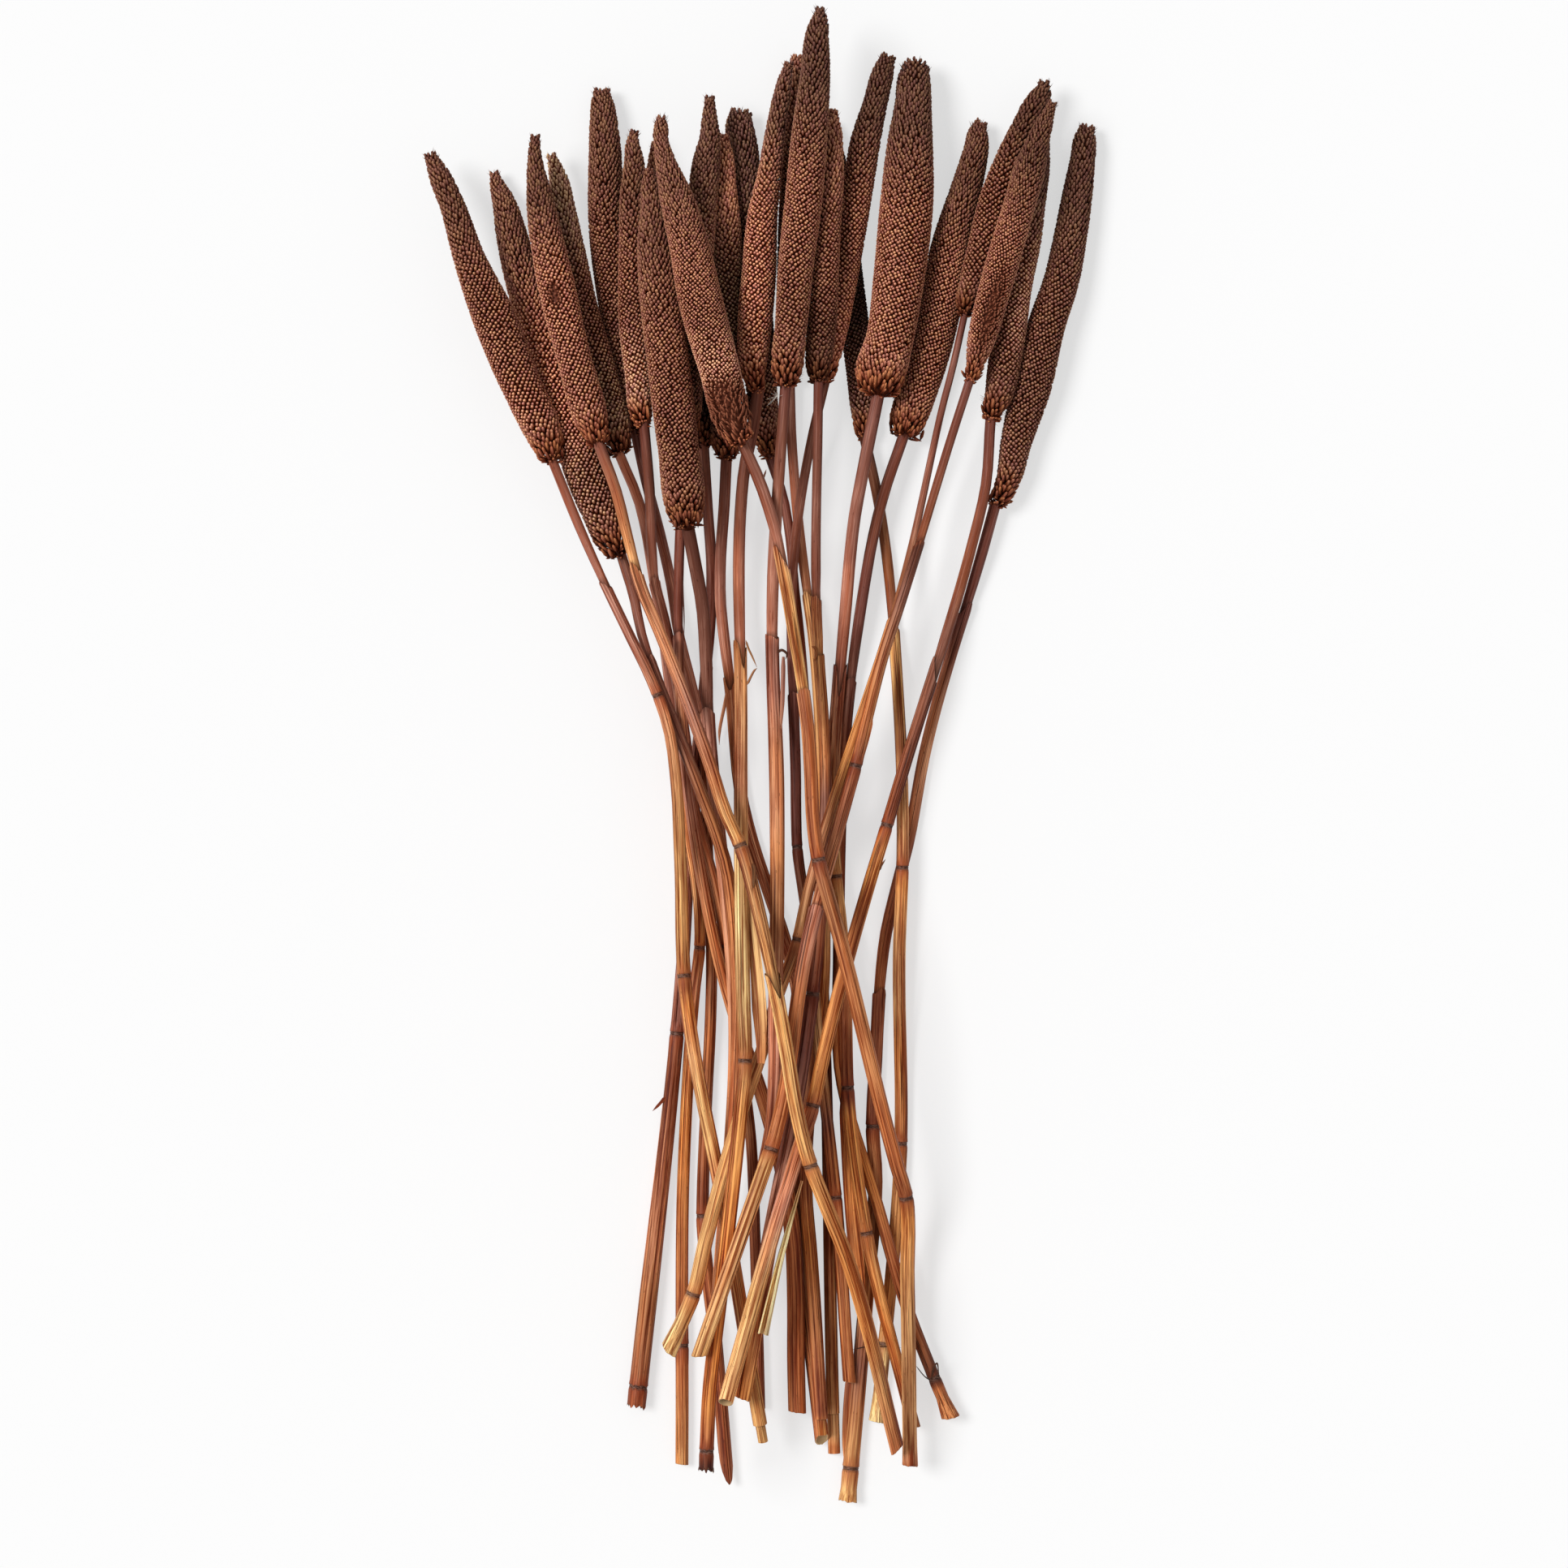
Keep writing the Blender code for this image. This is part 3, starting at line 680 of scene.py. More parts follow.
def growHead(number, look):
    # a seed head on its CAD node's line and girth: grains, tip, bristles, petals and core
    rings = readRings("seed_head_%02d" % number)
    dice = np.random.default_rng(100 + number)
    rubs = look.get("rubs", [])
    parts, cell = growGrains(rings, dice, look.get("fine", 1.0), rubs)
    parts.append(closeTip(rings, dice, cell))
    parts += growSpikes(rings, dice, look.get("frays", []))
    parts.append(growPetals(rings, dice))
    parts.append(makeCore(rings, rubs))
    for part in parts:  # nothing dips into the floor
        part["points"][:, 2] = np.maximum(part["points"][:, 2], grainLook["floor"] * mm)
    piece = makePiece("millet_head_%02d" % number, parts, headMaterial(number, look))
    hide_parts("seed_head_%02d" % number)


# grain shading: noise scales per metre, brightness as its own + tone + two noises, hues of dull
# and of bright grains, colours where grains are worn off, and where colours sit along a head;
# bodyFrom and endFrom set by the rise mark where the painted shade gives way to the sides and these
# to the painted highlight, and the worn colours carry painted shade low and painted light high
grainShade = dict(
    husk=(1500, 1500, 1500), patch=(75, 45, 75), cluster=(330, 260, 330),
    bright=0.30, byTone=0.42, byPatch=0.45, byCluster=0.50, byHusk=0.6,
    bodyFrom=(0.00, 0.26), endFrom=(0.26, 0.78), wornFrom=(0.05, 0.9),
    dullHue=(1.02, 0.90, 1.02), brightHue=(0.98, 1.09, 0.90), roughness=0.42, husks=0.4,
    wornPaintedShade=(0.14, 0.036, 0.018, 1.0), wornPaintedLight=(0.36, 0.125, 0.068, 1.0),
    places=(0.0, 0.22, 0.45, 0.62, 0.78, 0.90, 0.965), gloss=0.05, bump=(0.3, 0.2))


def grainGroup(shade):
    # painted shade in the gaps, the sides, and a painted highlight at the ends by height on the grain,
    # then each grain's own tone: dull grains are redder and bright ones yellower; a red brown where the
    # grains are worn off, with painted shade low and painted light high
    tree, given, made = newGroup("grainTone", {
        "Rise": 0.5, "Tone": 0.5, "Worn": 0.0, "Place": (0.0, 0.0, 0.0),
        "Gap": (0.03, 0.01, 0.005, 1.0), "Body": (0.15, 0.05, 0.03, 1.0),
        "End": (0.4, 0.18, 0.12, 1.0), "Husk": 0.5})
    husk, patch, cluster = (noiseOn(tree, given["Place"], shade[name])
                            for name in ("husk", "patch", "cluster"))
    uneven = centred(tree, husk, given["Husk"])
    height = total(tree, given["Rise"], product(tree, uneven, shade["byHusk"]))
    # Gap is the painted shade between grains and End the painted highlight at their ends
    colour = mixColour(tree, spread(tree, height, *shade["bodyFrom"]), given["Gap"], given["Body"])
    colour = mixColour(tree, spread(tree, height, *shade["endFrom"]), colour, given["End"])
    colour = mixColour(tree, given["Tone"], scaled(tree, colour, shade["dullHue"]),
                       scaled(tree, colour, shade["brightHue"]))
    bright = total(tree, product(tree, given["Tone"], shade["byTone"]), shade["bright"],
                   product(tree, patch, shade["byPatch"]), product(tree, cluster, shade["byCluster"]))
    lit = addNode(tree, "VectorMath", operation="SCALE")
    feed(tree, lit.inputs[0], colour)
    feed(tree, lit.inputs["Scale"], bright)
    # worn patches: a red brown with painted shade low and painted light high
    rubbedWithPaintedLight = mixColour(tree, spread(tree, height, *shade["wornFrom"]), shade["wornPaintedShade"],
                       shade["wornPaintedLight"])
    feed(tree, made["Color"], mixColour(tree, given["Worn"], lit.outputs[0], rubbedWithPaintedLight))
    feed(tree, made["Roughness"], total(tree, uneven, shade["roughness"]))
    feed(tree, made["Height"], husk)
    return tree


def headMaterial(number, look):
    # the grain group fed with the gap colour (painted shade), the body colour and the end colour
    # (painted highlight), each a ramp from the tip to the neck and times the head's shade, partly
    # painted light and shade
    material, tree, shader = newMaterial("milletGrain%02d" % number)
    group = addNode(tree, "Group", node_tree=grainTone)
    for title in ("Rise", "Tone", "Worn"):
        feed(tree, group.inputs[title], markOf(tree, title.lower()))
    feed(tree, group.inputs["Place"], addNode(tree, "TexCoord").outputs["Object"])
    along = markOf(tree, "along")
    names = (look["top"], look["middle"], look["low"], "collar")
    shades = (*look["shade"], look["shade"][2])
    for n, title in enumerate(("Gap", "Body", "End")):
        top, middle, low, collar = (tuple(part * shade for part in grainColoursAndPaintedLight[name][n])
                                    for name, shade in zip(names, shades))
        stops = zip(grainShade["places"], (top, top, middle, middle, low, low, collar))
        feed(tree, group.inputs[title], rampOf(tree, along, list(stops)))
    group.inputs["Husk"].default_value = grainShade["husks"]
    finishShader(tree, shader, group.outputs["Color"], group, grainShade["gloss"], grainShade["bump"])
    return material


grainTone = grainGroup(grainShade)
for headNumber, headStyle in headLook.items():
    growHead(headNumber, headStyle)
print(len(headLook), "seed heads are grown")


# stems

# joints and mouths by y; a mouth is where a leaf sheath opens: tip is how far its edge rises on
# the side at, and slit how far it is cut down at slitAt. At the foot, flare is its girth, slant
# and ragged cut it askew and unevenly, hollow is its depth and is darkened with painted shade, and
# a stub is a core that stands out of the last sheath by (length, girth). Strips of sheath run through
# (mm across, y, mm up) with a width along them, and their dark is painted shade; tufts are down;
# tint gives the colour down the stem by y, fitted to how bright each stretch looks, so beside the
# stem's own colour it holds painted light where the stem lies in the shade of others
stemLook = {
    1: dict(joints=[21.8, -72.7], mouths=[dict(y=57.5, tip=3, at=150)], foot=dict(stub=(6, 0.7)),
        tint=[(98, "roseBrown"), (74, "roseTan"), (40, "roseTan"), (16, "tan"), (-18, "ochre"),
              (-52, "wheat"), (-72, "ochre"), (-76, "bronze"), (-84, "gold"), (-98, "paleGold"),
              (-116, "wheat"), (-128, "wheat"), (-133, "ochre"), (-140, "orangeTan"),
              (-142, "orangeTan"), (-150, "ochre"), (-190, "ochre"), (-230, "wheat")]),
    2: dict(joints=[], mouths=[dict(y=31.5, tip=4, at=60)],
        tint=[(68, "umberTan"), (32, "roseBrown"), (30, "umberTan"), (8, "umberTan"), (-20, "bronze"),
              (-58, "orangeTan"), (-186, "tan")]),
    3: dict(joints=[-28.6, -134.8],
        mouths=[dict(y=61.5, tip=5, at=120), dict(y=-70.5, tip=-4, at=60, slit=5, slitAt=70)],
        foot=dict(slant=3, at=200),
        strips=[dict(path=[(2.1, -35, 1.6), (1.9, -37.5, 2.1), (1, -40.5, 2.6), (0.2, -43, 2.6)],
                     wide=1.5, dark=0.85, width=(0.2, 1, 0.7, 0.05)),
                dict(path=[(1.3, -35.5, 2.3), (0.9, -38, 2.7), (0, -41.5, 2.75), (-0.8, -45, 2.6)],
                     wide=0.6, pale=1.2)],
        tint=[(104, "roseBrown"), (88, "tan"), (64, "paleGold"), (60, "tan"), (34, "tan"),
              (16, "roseBrown"), (-8, "orangeTan"), (-28, "wheat"), (-30, "bronze"), (-88, "wheat"),
              (-118, "wheat"), (-168, "gold"), (-188, "gold"), (-205, "ochre"), (-232, "russetRed")]),
    4: dict(joints=[-63.2, -198], mouths=[dict(y=6.5, tip=3, at=60)],
        tint=[(104, "pinkTan"), (8, "roseBrown"), (6, "orangeTan"), (-46, "paleGold"), (-62, "gold"),
              (-74, "tan"), (-118, "gold"), (-184, "russetRed"), (-196, "redBrown"),
              (-204, "russetRed"), (-236, "ochre")]),
    5: dict(joints=[-154.1], mouths=[dict(y=13.5, tip=3, at=120)], foot=dict(slant=20, at=75),
        tint=[(110, "plumBrown"), (16, "pinkTan"), (12, "bronze"), (-40, "bronze"),
              (-68, "orangeTan"), (-74, "tan"), (-90, "orangeTan"), (-106, "bronze"),
              (-148, "redBrown"), (-158, "russetRed"), (-242, "redBrown")]),
    6: dict(joints=[-62.6], mouths=[dict(y=59.5, tip=2, at=80)],
        tint=[(112, "plumBrown"), (90, "umberTan"), (74, "roseTan"), (60, "pinkTan"), (58, "pinkTan"),
              (30, "roseTan"), (-62, "orangeTan"), (-118, "bronze"), (-140, "redBrown")]),
    7: dict(joints=[], mouths=[dict(y=15.5, tip=3, at=100)],
        tint=[(76, "darkBark"), (18, "umberTan"), (14, "roseTan"), (-90, "tan")]),
    8: dict(joints=[-33.2, -146.5], mouths=[dict(y=63.5, tip=9, at=140), dict(y=22.5, tip=1, at=60)],
        foot=dict(flare=1.1),
        strips=[dict(path=[(1.2, 93.5, 1), (2.3, 94.5, 1.6), (3.6, 95.8, 2)], wide=0.8, dark=0.8)],
        tint=[(106, "umberTan"), (90, "roseBrown"), (64, "pinkTan"), (62, "paleGold"), (40, "wheat"),
              (24, "wheat"), (22, "tan"), (6, "orangeTan"), (-32, "russetRed"), (-34, "redBrown"),
              (-47, "bronze"), (-56, "bronze"), (-62, "orangeTan"), (-100, "orangeTan"),
              (-134, "russetRed"), (-146, "bronze"), (-154, "gold"), (-200, "paleGold"),
              (-228, "paleGold"), (-236, "tan"), (-238, "bronze"), (-240, "russetRed")]),
    9: dict(joints=[], mouths=[dict(y=41.5, tip=2, at=80)], foot=dict(slant=1, at=0),
        strips=[dict(path=[(1.2, 65.3, 0.5), (1.6, 56.5, 0.9), (2, 48.3, 0.8), (1.9, 40.1, 0.4)],
                     wide=0.5, dark=0.7)],
        tint=[(106, "plumBrown"), (42, "plumBrown"), (40, "roseTan"), (38, "roseBrown"), (24, "tan"),
              (-14, "pinkTan"), (-30, "tan"), (-58, "orangeTan"), (-142, "russetRed")]),
    10: dict(joints=[-79.5], mouths=[dict(y=26.5, tip=2, at=150, slit=4, slitAt=100)],
        foot=dict(slant=4, at=250),
        strips=[dict(path=[(0.1, 27.8, 1.2), (-2.4, 19.5, 1), (-4.7, 11.3, 0.8), (-5.4, 5.8, 0.4)],
                     wide=1.3)],
        tint=[(102, "roseBrown"), (60, "roseTan"), (34, "pinkTan"), (28, "tan"), (-80, "tan"),
              (-158, "bronze"), (-230, "russetRed")]),
    11: dict(joints=[-68.5], mouths=[dict(y=21.5, tip=2, at=80)], foot=dict(stub=(13.5, 0.93)),
        # the bronze at -158 is painted light where this stem lies in the shade of others
        tint=[(102, "plumBrown"), (-6, "redBrown"), (-118, "redBrown"), (-158, "bronze"),
              (-218, "ochre"), (-220, "paleGold"), (-228, "paleGold"), (-232, "orangeTan")]),
    12: dict(joints=[-100.2, -230.5], mouths=[dict(y=38.5, tip=2, at=150, slit=9, slitAt=60)],
        foot=dict(hollow=3, ragged=0.9, flare=1.12),
        strips=[dict(path=[(2, 40, 1.4), (2.8, 37, 2), (4.2, 33.8, 2.2), (5.6, 30.6, 2)], wide=0.8,
                     dark=0.6),
                dict(path=[(2.2, 25, 1.2), (3.2, 27, 1.8), (4.6, 29.4, 2.2), (5.7, 30.4, 2)],
                     wide=0.9, dark=0.5),
                dict(path=[(1.6, -36, -0.2), (3.9, -60.5, -1), (5.2, -80.7, -1.2),
                           (5.4, -100.8, -0.8)], wide=5, red=1, width=(0.1, 0.6, 1, 0.5))],
        tint=[(122, "roseBrown"), (98, "umberTan"), (66, "pinkTan"), (40, "pinkTan"),
              (38, "paleGold"), (-8, "tan"), (-28, "wheat"), (-52, "straw"), (-78, "straw"),
              (-98, "ochre"), (-104, "ochre"), (-118, "gold"), (-178, "amber"), (-214, "amber"),
              (-226, "russetRed"), (-236, "darkBark")]),
    13: dict(joints=[-90.9], mouths=[dict(y=54.5, tip=2.5, at=110)], foot=dict(stub=(5.5, 0.62)),
        tint=[(124, "roseTan"), (90, "pinkTan"), (70, "tan"), (57, "tan"), (53, "wheat"),
              (28, "ochre"), (-20, "ochre"), (-48, "paleGold"), (-88, "gold"), (-108, "tan"),
              (-146, "orangeTan"), (-160, "amber"), (-184, "orangeTan"), (-220, "redBrown"),
              (-222, "orangeTan"), (-226, "gold")]),
    14: dict(joints=[], mouths=[dict(y=41.5, tip=1.5, at=150)],
        strips=[dict(path=[(3.7, 35, 1.8), (3.4, 27, 2.2), (2.9, 19, 2.2), (1.9, 10, 1.4)], wide=1.5,
                     dark=0.35, width=(0.6, 1, 1, 0.5)),
                dict(path=[(1.6, 36.4, 2.2), (3.2, 37.4, 2.9), (4.9, 36, 2.6), (4.4, 34, 2.2)],
                     wide=1, dark=0.9)],
        tufts=[dict(spot=(-2.5, 121.6, 2.5), threads=16, reach=2.2)],
        tint=[(124, "plumBrown"), (112, "umberTan"), (42, "pinkTan"), (40, "roseTan"),
              (38, "roseBrown"), (22, "roseTan"), (2, "tan"), (-18, "tan"), (-32, "orangeTan"),
              (-44, "bronze"), (-58, "bronze"), (-92, "pinkTan"), (-118, "redBrown")]),
    15: dict(joints=[-78.5], mouths=[dict(y=53.5, tip=2.5, at=110), dict(y=34.5, tip=1, at=40)],
        foot=dict(slant=1, at=0),
        strips=[dict(path=[(-2.3, 38.5, 1.6), (-1, 37.4, 2.4), (-0.9, 35.2, 2.2), (-1.8, 33.3, 1.4)],
                     wide=0.9)],
        tint=[(124, "plumBrown"), (100, "umberTan"), (56, "roseBrown"), (52, "tan"), (36, "ochre"),
              (20, "ochre"), (2, "orangeTan"), (-12, "umberTan"), (-24, "umberTan"),
              (-58, "redBrown"), (-98, "plumBrown"), (-142, "pinkTan"), (-212, "gold")]),
    16: dict(joints=[-29.4, -147.3], mouths=[dict(y=21.5, tip=2, at=90)], foot=dict(slant=1, at=0),
        tint=[(124, "umberTan"), (100, "umberTan"), (88, "roseTan"), (84, "roseTan"),
              (64, "roseBrown"), (30, "plumBrown"), (-26, "plumBrown"), (-60, "bronze"),
              (-98, "paleGold"), (-112, "bronze"), (-122, "umberTan"), (-134, "orangeTan"),
              (-138, "orangeTan"), (-148, "russetRed"), (-210, "orangeTan")]),
    17: dict(joints=[-39.2, -110.3, -159.3], mouths=[dict(y=32.5, tip=1, at=60, slit=12, slitAt=80)],
        foot=dict(flare=1.05),
        strips=[dict(path=[(-1.2, -107.5, -0.5), (-1.9, -126.6, -1.2), (-3.2, -145.8, -1.6),
                           (-5.2, -170.6, -1.6), (-6.7, -184.4, -1.4)], wide=5, red=0.45,
                     width=(0.2, 0.8, 1, 0.3))],
        tint=[(124, "plumBrown"), (90, "roseBrown"), (80, "roseBrown"), (68, "roseTan"),
              (64, "pinkTan"), (34, "roseTan"), (30, "roseTan"), (-38, "wheat"), (-72, "orangeTan"),
              (-110, "redBrown"), (-114, "redBrown"), (-120, "gold"), (-148, "gold"), (-160, "ochre"),
              (-188, "gold"), (-224, "bronze")]),
    18: dict(joints=[-36.2, -129.7, -197.4], mouths=[dict(y=43.5, tip=2, at=80)],
        foot=dict(flare=1.3),
        tint=[(106, "darkBark"), (62, "bronze"), (44, "roseBrown"), (42, "wheat"), (28, "wheat"),
              (4, "bronze"), (-18, "paleGold"), (-36, "russetRed"), (-42, "gold"), (-60, "paleGold"),
              (-80, "paleGold"), (-98, "gold"), (-128, "bronze"), (-138, "ochre"), (-188, "gold"),
              (-198, "straw")]),
    19: dict(joints=[-208.5], mouths=[dict(y=26.5, tip=2, at=80)],
        foot=dict(flare=1.45, slant=1, at=0),
        strips=[dict(path=[(-1.8, -208.5, 1), (-3, -206.2, 1.6), (-3.7, -204, 2.2),
                           (-4.2, -202.3, 2.6)], wide=0.4, dark=1),
                dict(path=[(-1.3, -209, 1.6), (0.7, -205.6, 2.6), (2.8, -204.2, 2.8),
                           (1.5, -209, 1.6)], wide=0.7, dark=0.9)],
        tint=[(108, "plumBrown"), (84, "umberTan"), (62, "plumBrown"), (52, "plumBrown"),
              (36, "darkBark"), (18, "umberTan"), (2, "redBrown"), (-68, "russetRed"),
              (-138, "amber"), (-160, "russetRed"), (-184, "russetRed"), (-210, "darkBark"),
              (-212, "orangeTan")]),
    20: dict(joints=[-60.4, -178.3], mouths=[dict(y=46.5, tip=3, at=80)],
        foot=dict(flare=1.22, slant=2, at=20),
        tint=[(150, "plumBrown"), (92, "roseBrown"), (48, "bronze"), (46, "orangeTan"), (2, "gold"),
              (-19, "bronze"), (-36, "tan"), (-58, "paleGold"), (-64, "bronze"), (-74, "paleGold"),
              (-114, "wheat"), (-182, "wheat"), (-200, "straw")]),
    21: dict(joints=[-1.9, -129.6],
        mouths=[dict(y=71.5, tip=3, at=60), dict(y=-49.8, tip=1.5, at=100)],
        foot=dict(slant=2, at=160),
        strips=[dict(path=[(1.5, 16, 0.9), (1.6, 8.4, 0.8), (1.4, 1.9, 0.6), (1.5, -1.9, 0.2)],
                     wide=1.6)],
        tint=[(126, "plumBrown"), (72, "redBrown"), (70, "darkBark"), (54, "umberTan"),
              (22, "orangeTan"), (12, "orangeTan"), (-2, "redBrown"), (-14, "redBrown"), (-48, "tan"),
              (-50, "roseTan"), (-78, "russetRed"), (-130, "orangeTan"), (-134, "wheat"),
              (-155, "paleGold"), (-178, "paleGold"), (-200, "wheat")]),
    22: dict(joints=[-22, -115.4], mouths=[dict(y=26.5, tip=8, at=150)],
        foot=dict(hollow=3, slant=2.5, at=270),
        strips=[dict(path=[(1.9, -36.6, 0.8), (2.1, -34.7, 1), (2.8, -32.5, 1.6)], wide=0.8, dark=0.8)],
        tint=[(114, "plumBrown"), (62, "redBrown"), (44, "umberTan"), (28, "umberTan"),
              # the gold at -38 is painted light where this stem lies in the shade of others
              (-20, "redBrown"), (-24, "russetRed"), (-38, "gold"), (-54, "orangeTan"),
              (-58, "orangeTan"), (-110, "gold"), (-118, "tan"), (-124, "orangeTan"),
              (-148, "pinkTan"), (-178, "wheat"), (-216, "paleGold")]),
    23: dict(joints=[-123.8, -239.4],
        mouths=[dict(y=48.7, tip=5, at=50), dict(y=-79.3, tip=2, at=60)],
        foot=dict(flare=1.15, ragged=0.22),
        strips=[dict(path=[(-3.6, -204.7, 0.6), (-3.4, -219, 0.9), (-2.6, -230, 0.9),
                           (-1.2, -239.5, 0.6)], wide=2.4, red=1, width=(0.3, 0.9, 1, 0.7)),
                dict(path=[(-3.3, -199.2, 4.6), (1.5, -197.7, 5.2), (7.4, -197.2, 4.8),
                           (13.4, -196.9, 5.6)], wide=0.45, dark=0.9)],
        tint=[(84, "plumBrown"), (46, "plumBrown"), (2, "tan"), (-38, "redBrown"), (-78, "russetRed"),
              (-80, "redBrown"), (-122, "redBrown"), (-128, "russetRed"), (-178, "ochre"),
              (-190, "bronze"), (-205, "umberTan"), (-220, "bronze"), (-234, "ochre"),
              (-243, "ochre"), (-248, "wheat")]),
    24: dict(joints=[-92.4, -212.1], mouths=[dict(y=31.5, tip=2, at=80)],
        foot=dict(hollow=1, ragged=0.6, flare=1.02),
        strips=[dict(path=[(-1.7, -113.8, 1.4), (-3.4, -116.3, 2.2), (-5.6, -119.1, 1)], wide=1.2,
                     red=1)],
        tint=[(104, "roseBrown"), (32, "plumBrown"), (30, "roseBrown"), (-88, "roseBrown"),
              (-94, "redBrown"), (-118, "redBrown"), (-146, "tan"), (-162, "tan"), (-180, "bronze"),
              (-216, "redBrown")])}

# the ribbed skin: groove and deep are depths over the radius, edge is half a groove's width in
# radians, twist is milliradians for each mm, swell a slow change of girth, and into is how far
# the stem goes up into its head
skinLook = dict(ribs=9, ribWidth=(0.45, 1.6), edge=0.075, groove=0.055, depth=(0.05, 1.3),
                deep=0.15, deepShare=0.25, crest=0.02, twist=2.5, swell=0.018, rowStep=6.0,
                into=2.5, floor=0.05, crisp=58)

# girths above, under and below a mouth, the run in which its sheath settles and the one in which
# the neck above it thins; slit is the half width of a slit in radians, tear the height of tears
mouthLook = dict(above=0.88, under=1.08, rim=1.09, sheath=1.03, run=12.0, fade=22.0,
                 steps=(0.15, 0.35, 0.65, 1.0), slit=0.55, tear=0.35)
footRun = dict(flare=9.0, slant=10.0)  # how far up from the foot its flare and its slant reach

# rows of a joint: distance below it, girth, darkness of the ring, and reddish skin
jointRows = [
    (-5.0, 1.00, 0.00, 0.0), (-2.4, 1.01, 0.00, 0.6), (-1.1, 1.05, 0.10, 0.9),
    (-0.75, 1.05, 0.45, 1.0), (-0.55, 0.955, 1.00, 1.0), (-0.15, 0.985, 0.80, 1.0),
    (0.25, 0.945, 1.00, 1.0), (0.55, 1.00, 0.55, 1.0), (1.4, 1.045, 0.05, 0.9),
    (3.6, 1.03, 0.00, 0.5), (7.0, 1.00, 0.00, 0.0)]

# rows of a mouth's rim: distance below it, girth, share of its lift, and how far inside, which is
# how much painted shade darkens it
rimRows = [(1.0, 0.98, 1, 1.0), (0.1, 1.02, 1, 0.5), (0.0, 1.075, 1, 0.1), (0.5, 1.10, 0.95, 0.0)]


def row(y, girth, lift=0, joint=0, skin=0, inside=0, cut=0):
    # one ring of the skin: lift is its share of a mouth's edge, and 2 on the edge of the foot
    return y, girth, lift, joint, skin, inside, cut


def footRows(foot, look):
    # rows that close the foot: a cut and its hollow, or a sheath's end and the stub inside it; the
    # hollow and the stub's end are darkened with painted shade
    flare, hollow = look.get("flare", 1.0), look.get("hollow", 0.35)
    if "stub" not in look:
        return [row(foot + 0.15, flare, 2), row(foot, flare * 0.97, 2, cut=0.6),
                row(foot, flare * 0.80, 2, cut=1.0),
                row(foot + hollow, flare * 0.72, 2, inside=min(hollow, 1.0), cut=1.0)]
    longer, thin = look["stub"]
    end = foot + longer
    return [row(end + 0.1, 1.0, 2), row(end, 0.96, 2, cut=0.5),
            row(end + 0.8, thin + 0.05, 2, inside=1), row(end + 0.8, thin, 2, inside=1),
            row(end - 0.5, thin, 2, inside=0.2), row(foot + 0.1, thin, 2),
            row(foot, thin * 0.9, 2, cut=0.8), row(foot + 0.3, thin * 0.75, 2, inside=0.4, cut=1)]


def stemRows(look, top, foot):
    # all rows down the stem; between joints and mouths the girth is straight between its knots
    footLook = look.get("foot", {})
    marks = sorted([(y, None) for y in look["joints"]] + [(m["y"], m) for m in look["mouths"]],
                   key=lambda mark: -mark[0])
    knots = [(top, 1.0), (foot + footRun["flare"], 1.0), (foot, footLook.get("flare", 1.0))]
    for y, mouth in marks:
        if mouth:
            knots += [(y + mouthLook["fade"], 1.0), (y + 0.01, mouthLook["above"]),
                      (y - 0.01, mouthLook["under"]), (y - mouthLook["run"], mouthLook["sheath"])]
        else:
            knots += [(y - jointRows[0][0], 1.0), (y - jointRows[-1][0], 1.0)]
    knotY, knotGirth = np.array(sorted(knots, key=lambda knot: knot[0])).T

    def plain(start, end):
        # evenly spaced rows of bare skin
        count = max(int(np.ceil((start - end) / skinLook["rowStep"])), 1)
        return [row(y, np.interp(y, knotY, knotGirth)) for y in np.linspace(start, end, count + 1)]

    rows, at = [], top
    for y, mouth in marks:
        if mouth:
            block = [row(y + max(mouth["tip"], 0) + 1.2, mouthLook["above"]),
                     row(y - 1.0, mouthLook["above"], 1, inside=1.0)]
            # the neck just inside the mouth and the rim's inner rows get painted shade
            block += [row(y - below, girth, lift, inside=dark) for below, girth, lift, dark in rimRows]
            steps = np.array(mouthLook["steps"])
            settled = np.interp(steps, [0, 1], [mouthLook["rim"], mouthLook["sheath"]])
            block += [row(y - mouthLook["run"] * step, girth, 1 - step)
                      for step, girth in zip(steps, settled)]
        else:
            block = [row(y - below, girth, 0, ring, red) for below, girth, ring, red in jointRows]
        if at - block[0][0] > 0.8:
            rows += plain(at, block[0][0])[:-1]
        rows += block
        at = block[-1][0]
    if at - foot > 1.5:
        rows += plain(at, foot + 0.8)[1:]
    if "stub" in footLook:
        rows = [one for one in rows if one[0] > foot + footLook["stub"][0] + 0.5]
    return np.array(rows + footRows(foot, footLook)), [y for y, mouth in marks]


def ribTurns(dice, sheaths):
    # uneven ribs round the stem: column turns, and for every sheath each groove's depth and
    # each rib's own tone
    ribs, edge = skinLook["ribs"], skinLook["edge"]
    width = dice.uniform(*skinLook["ribWidth"], ribs)
    width *= circle / width.sum()
    start = np.cumsum(width) - width + dice.uniform(0, circle)
    turns = np.stack([start, start + edge, start + width * 0.5, start + width - edge], axis=1)
    depth = dice.uniform(*skinLook["depth"], (sheaths, ribs)) * skinLook["groove"]
    deep = dice.random((sheaths, ribs)) < skinLook["deepShare"]
    tone = np.clip(dice.normal(0, 1, (sheaths, ribs)), -1.8, 1.8)
    return turns.ravel(), np.where(deep, skinLook["deep"], depth), tone


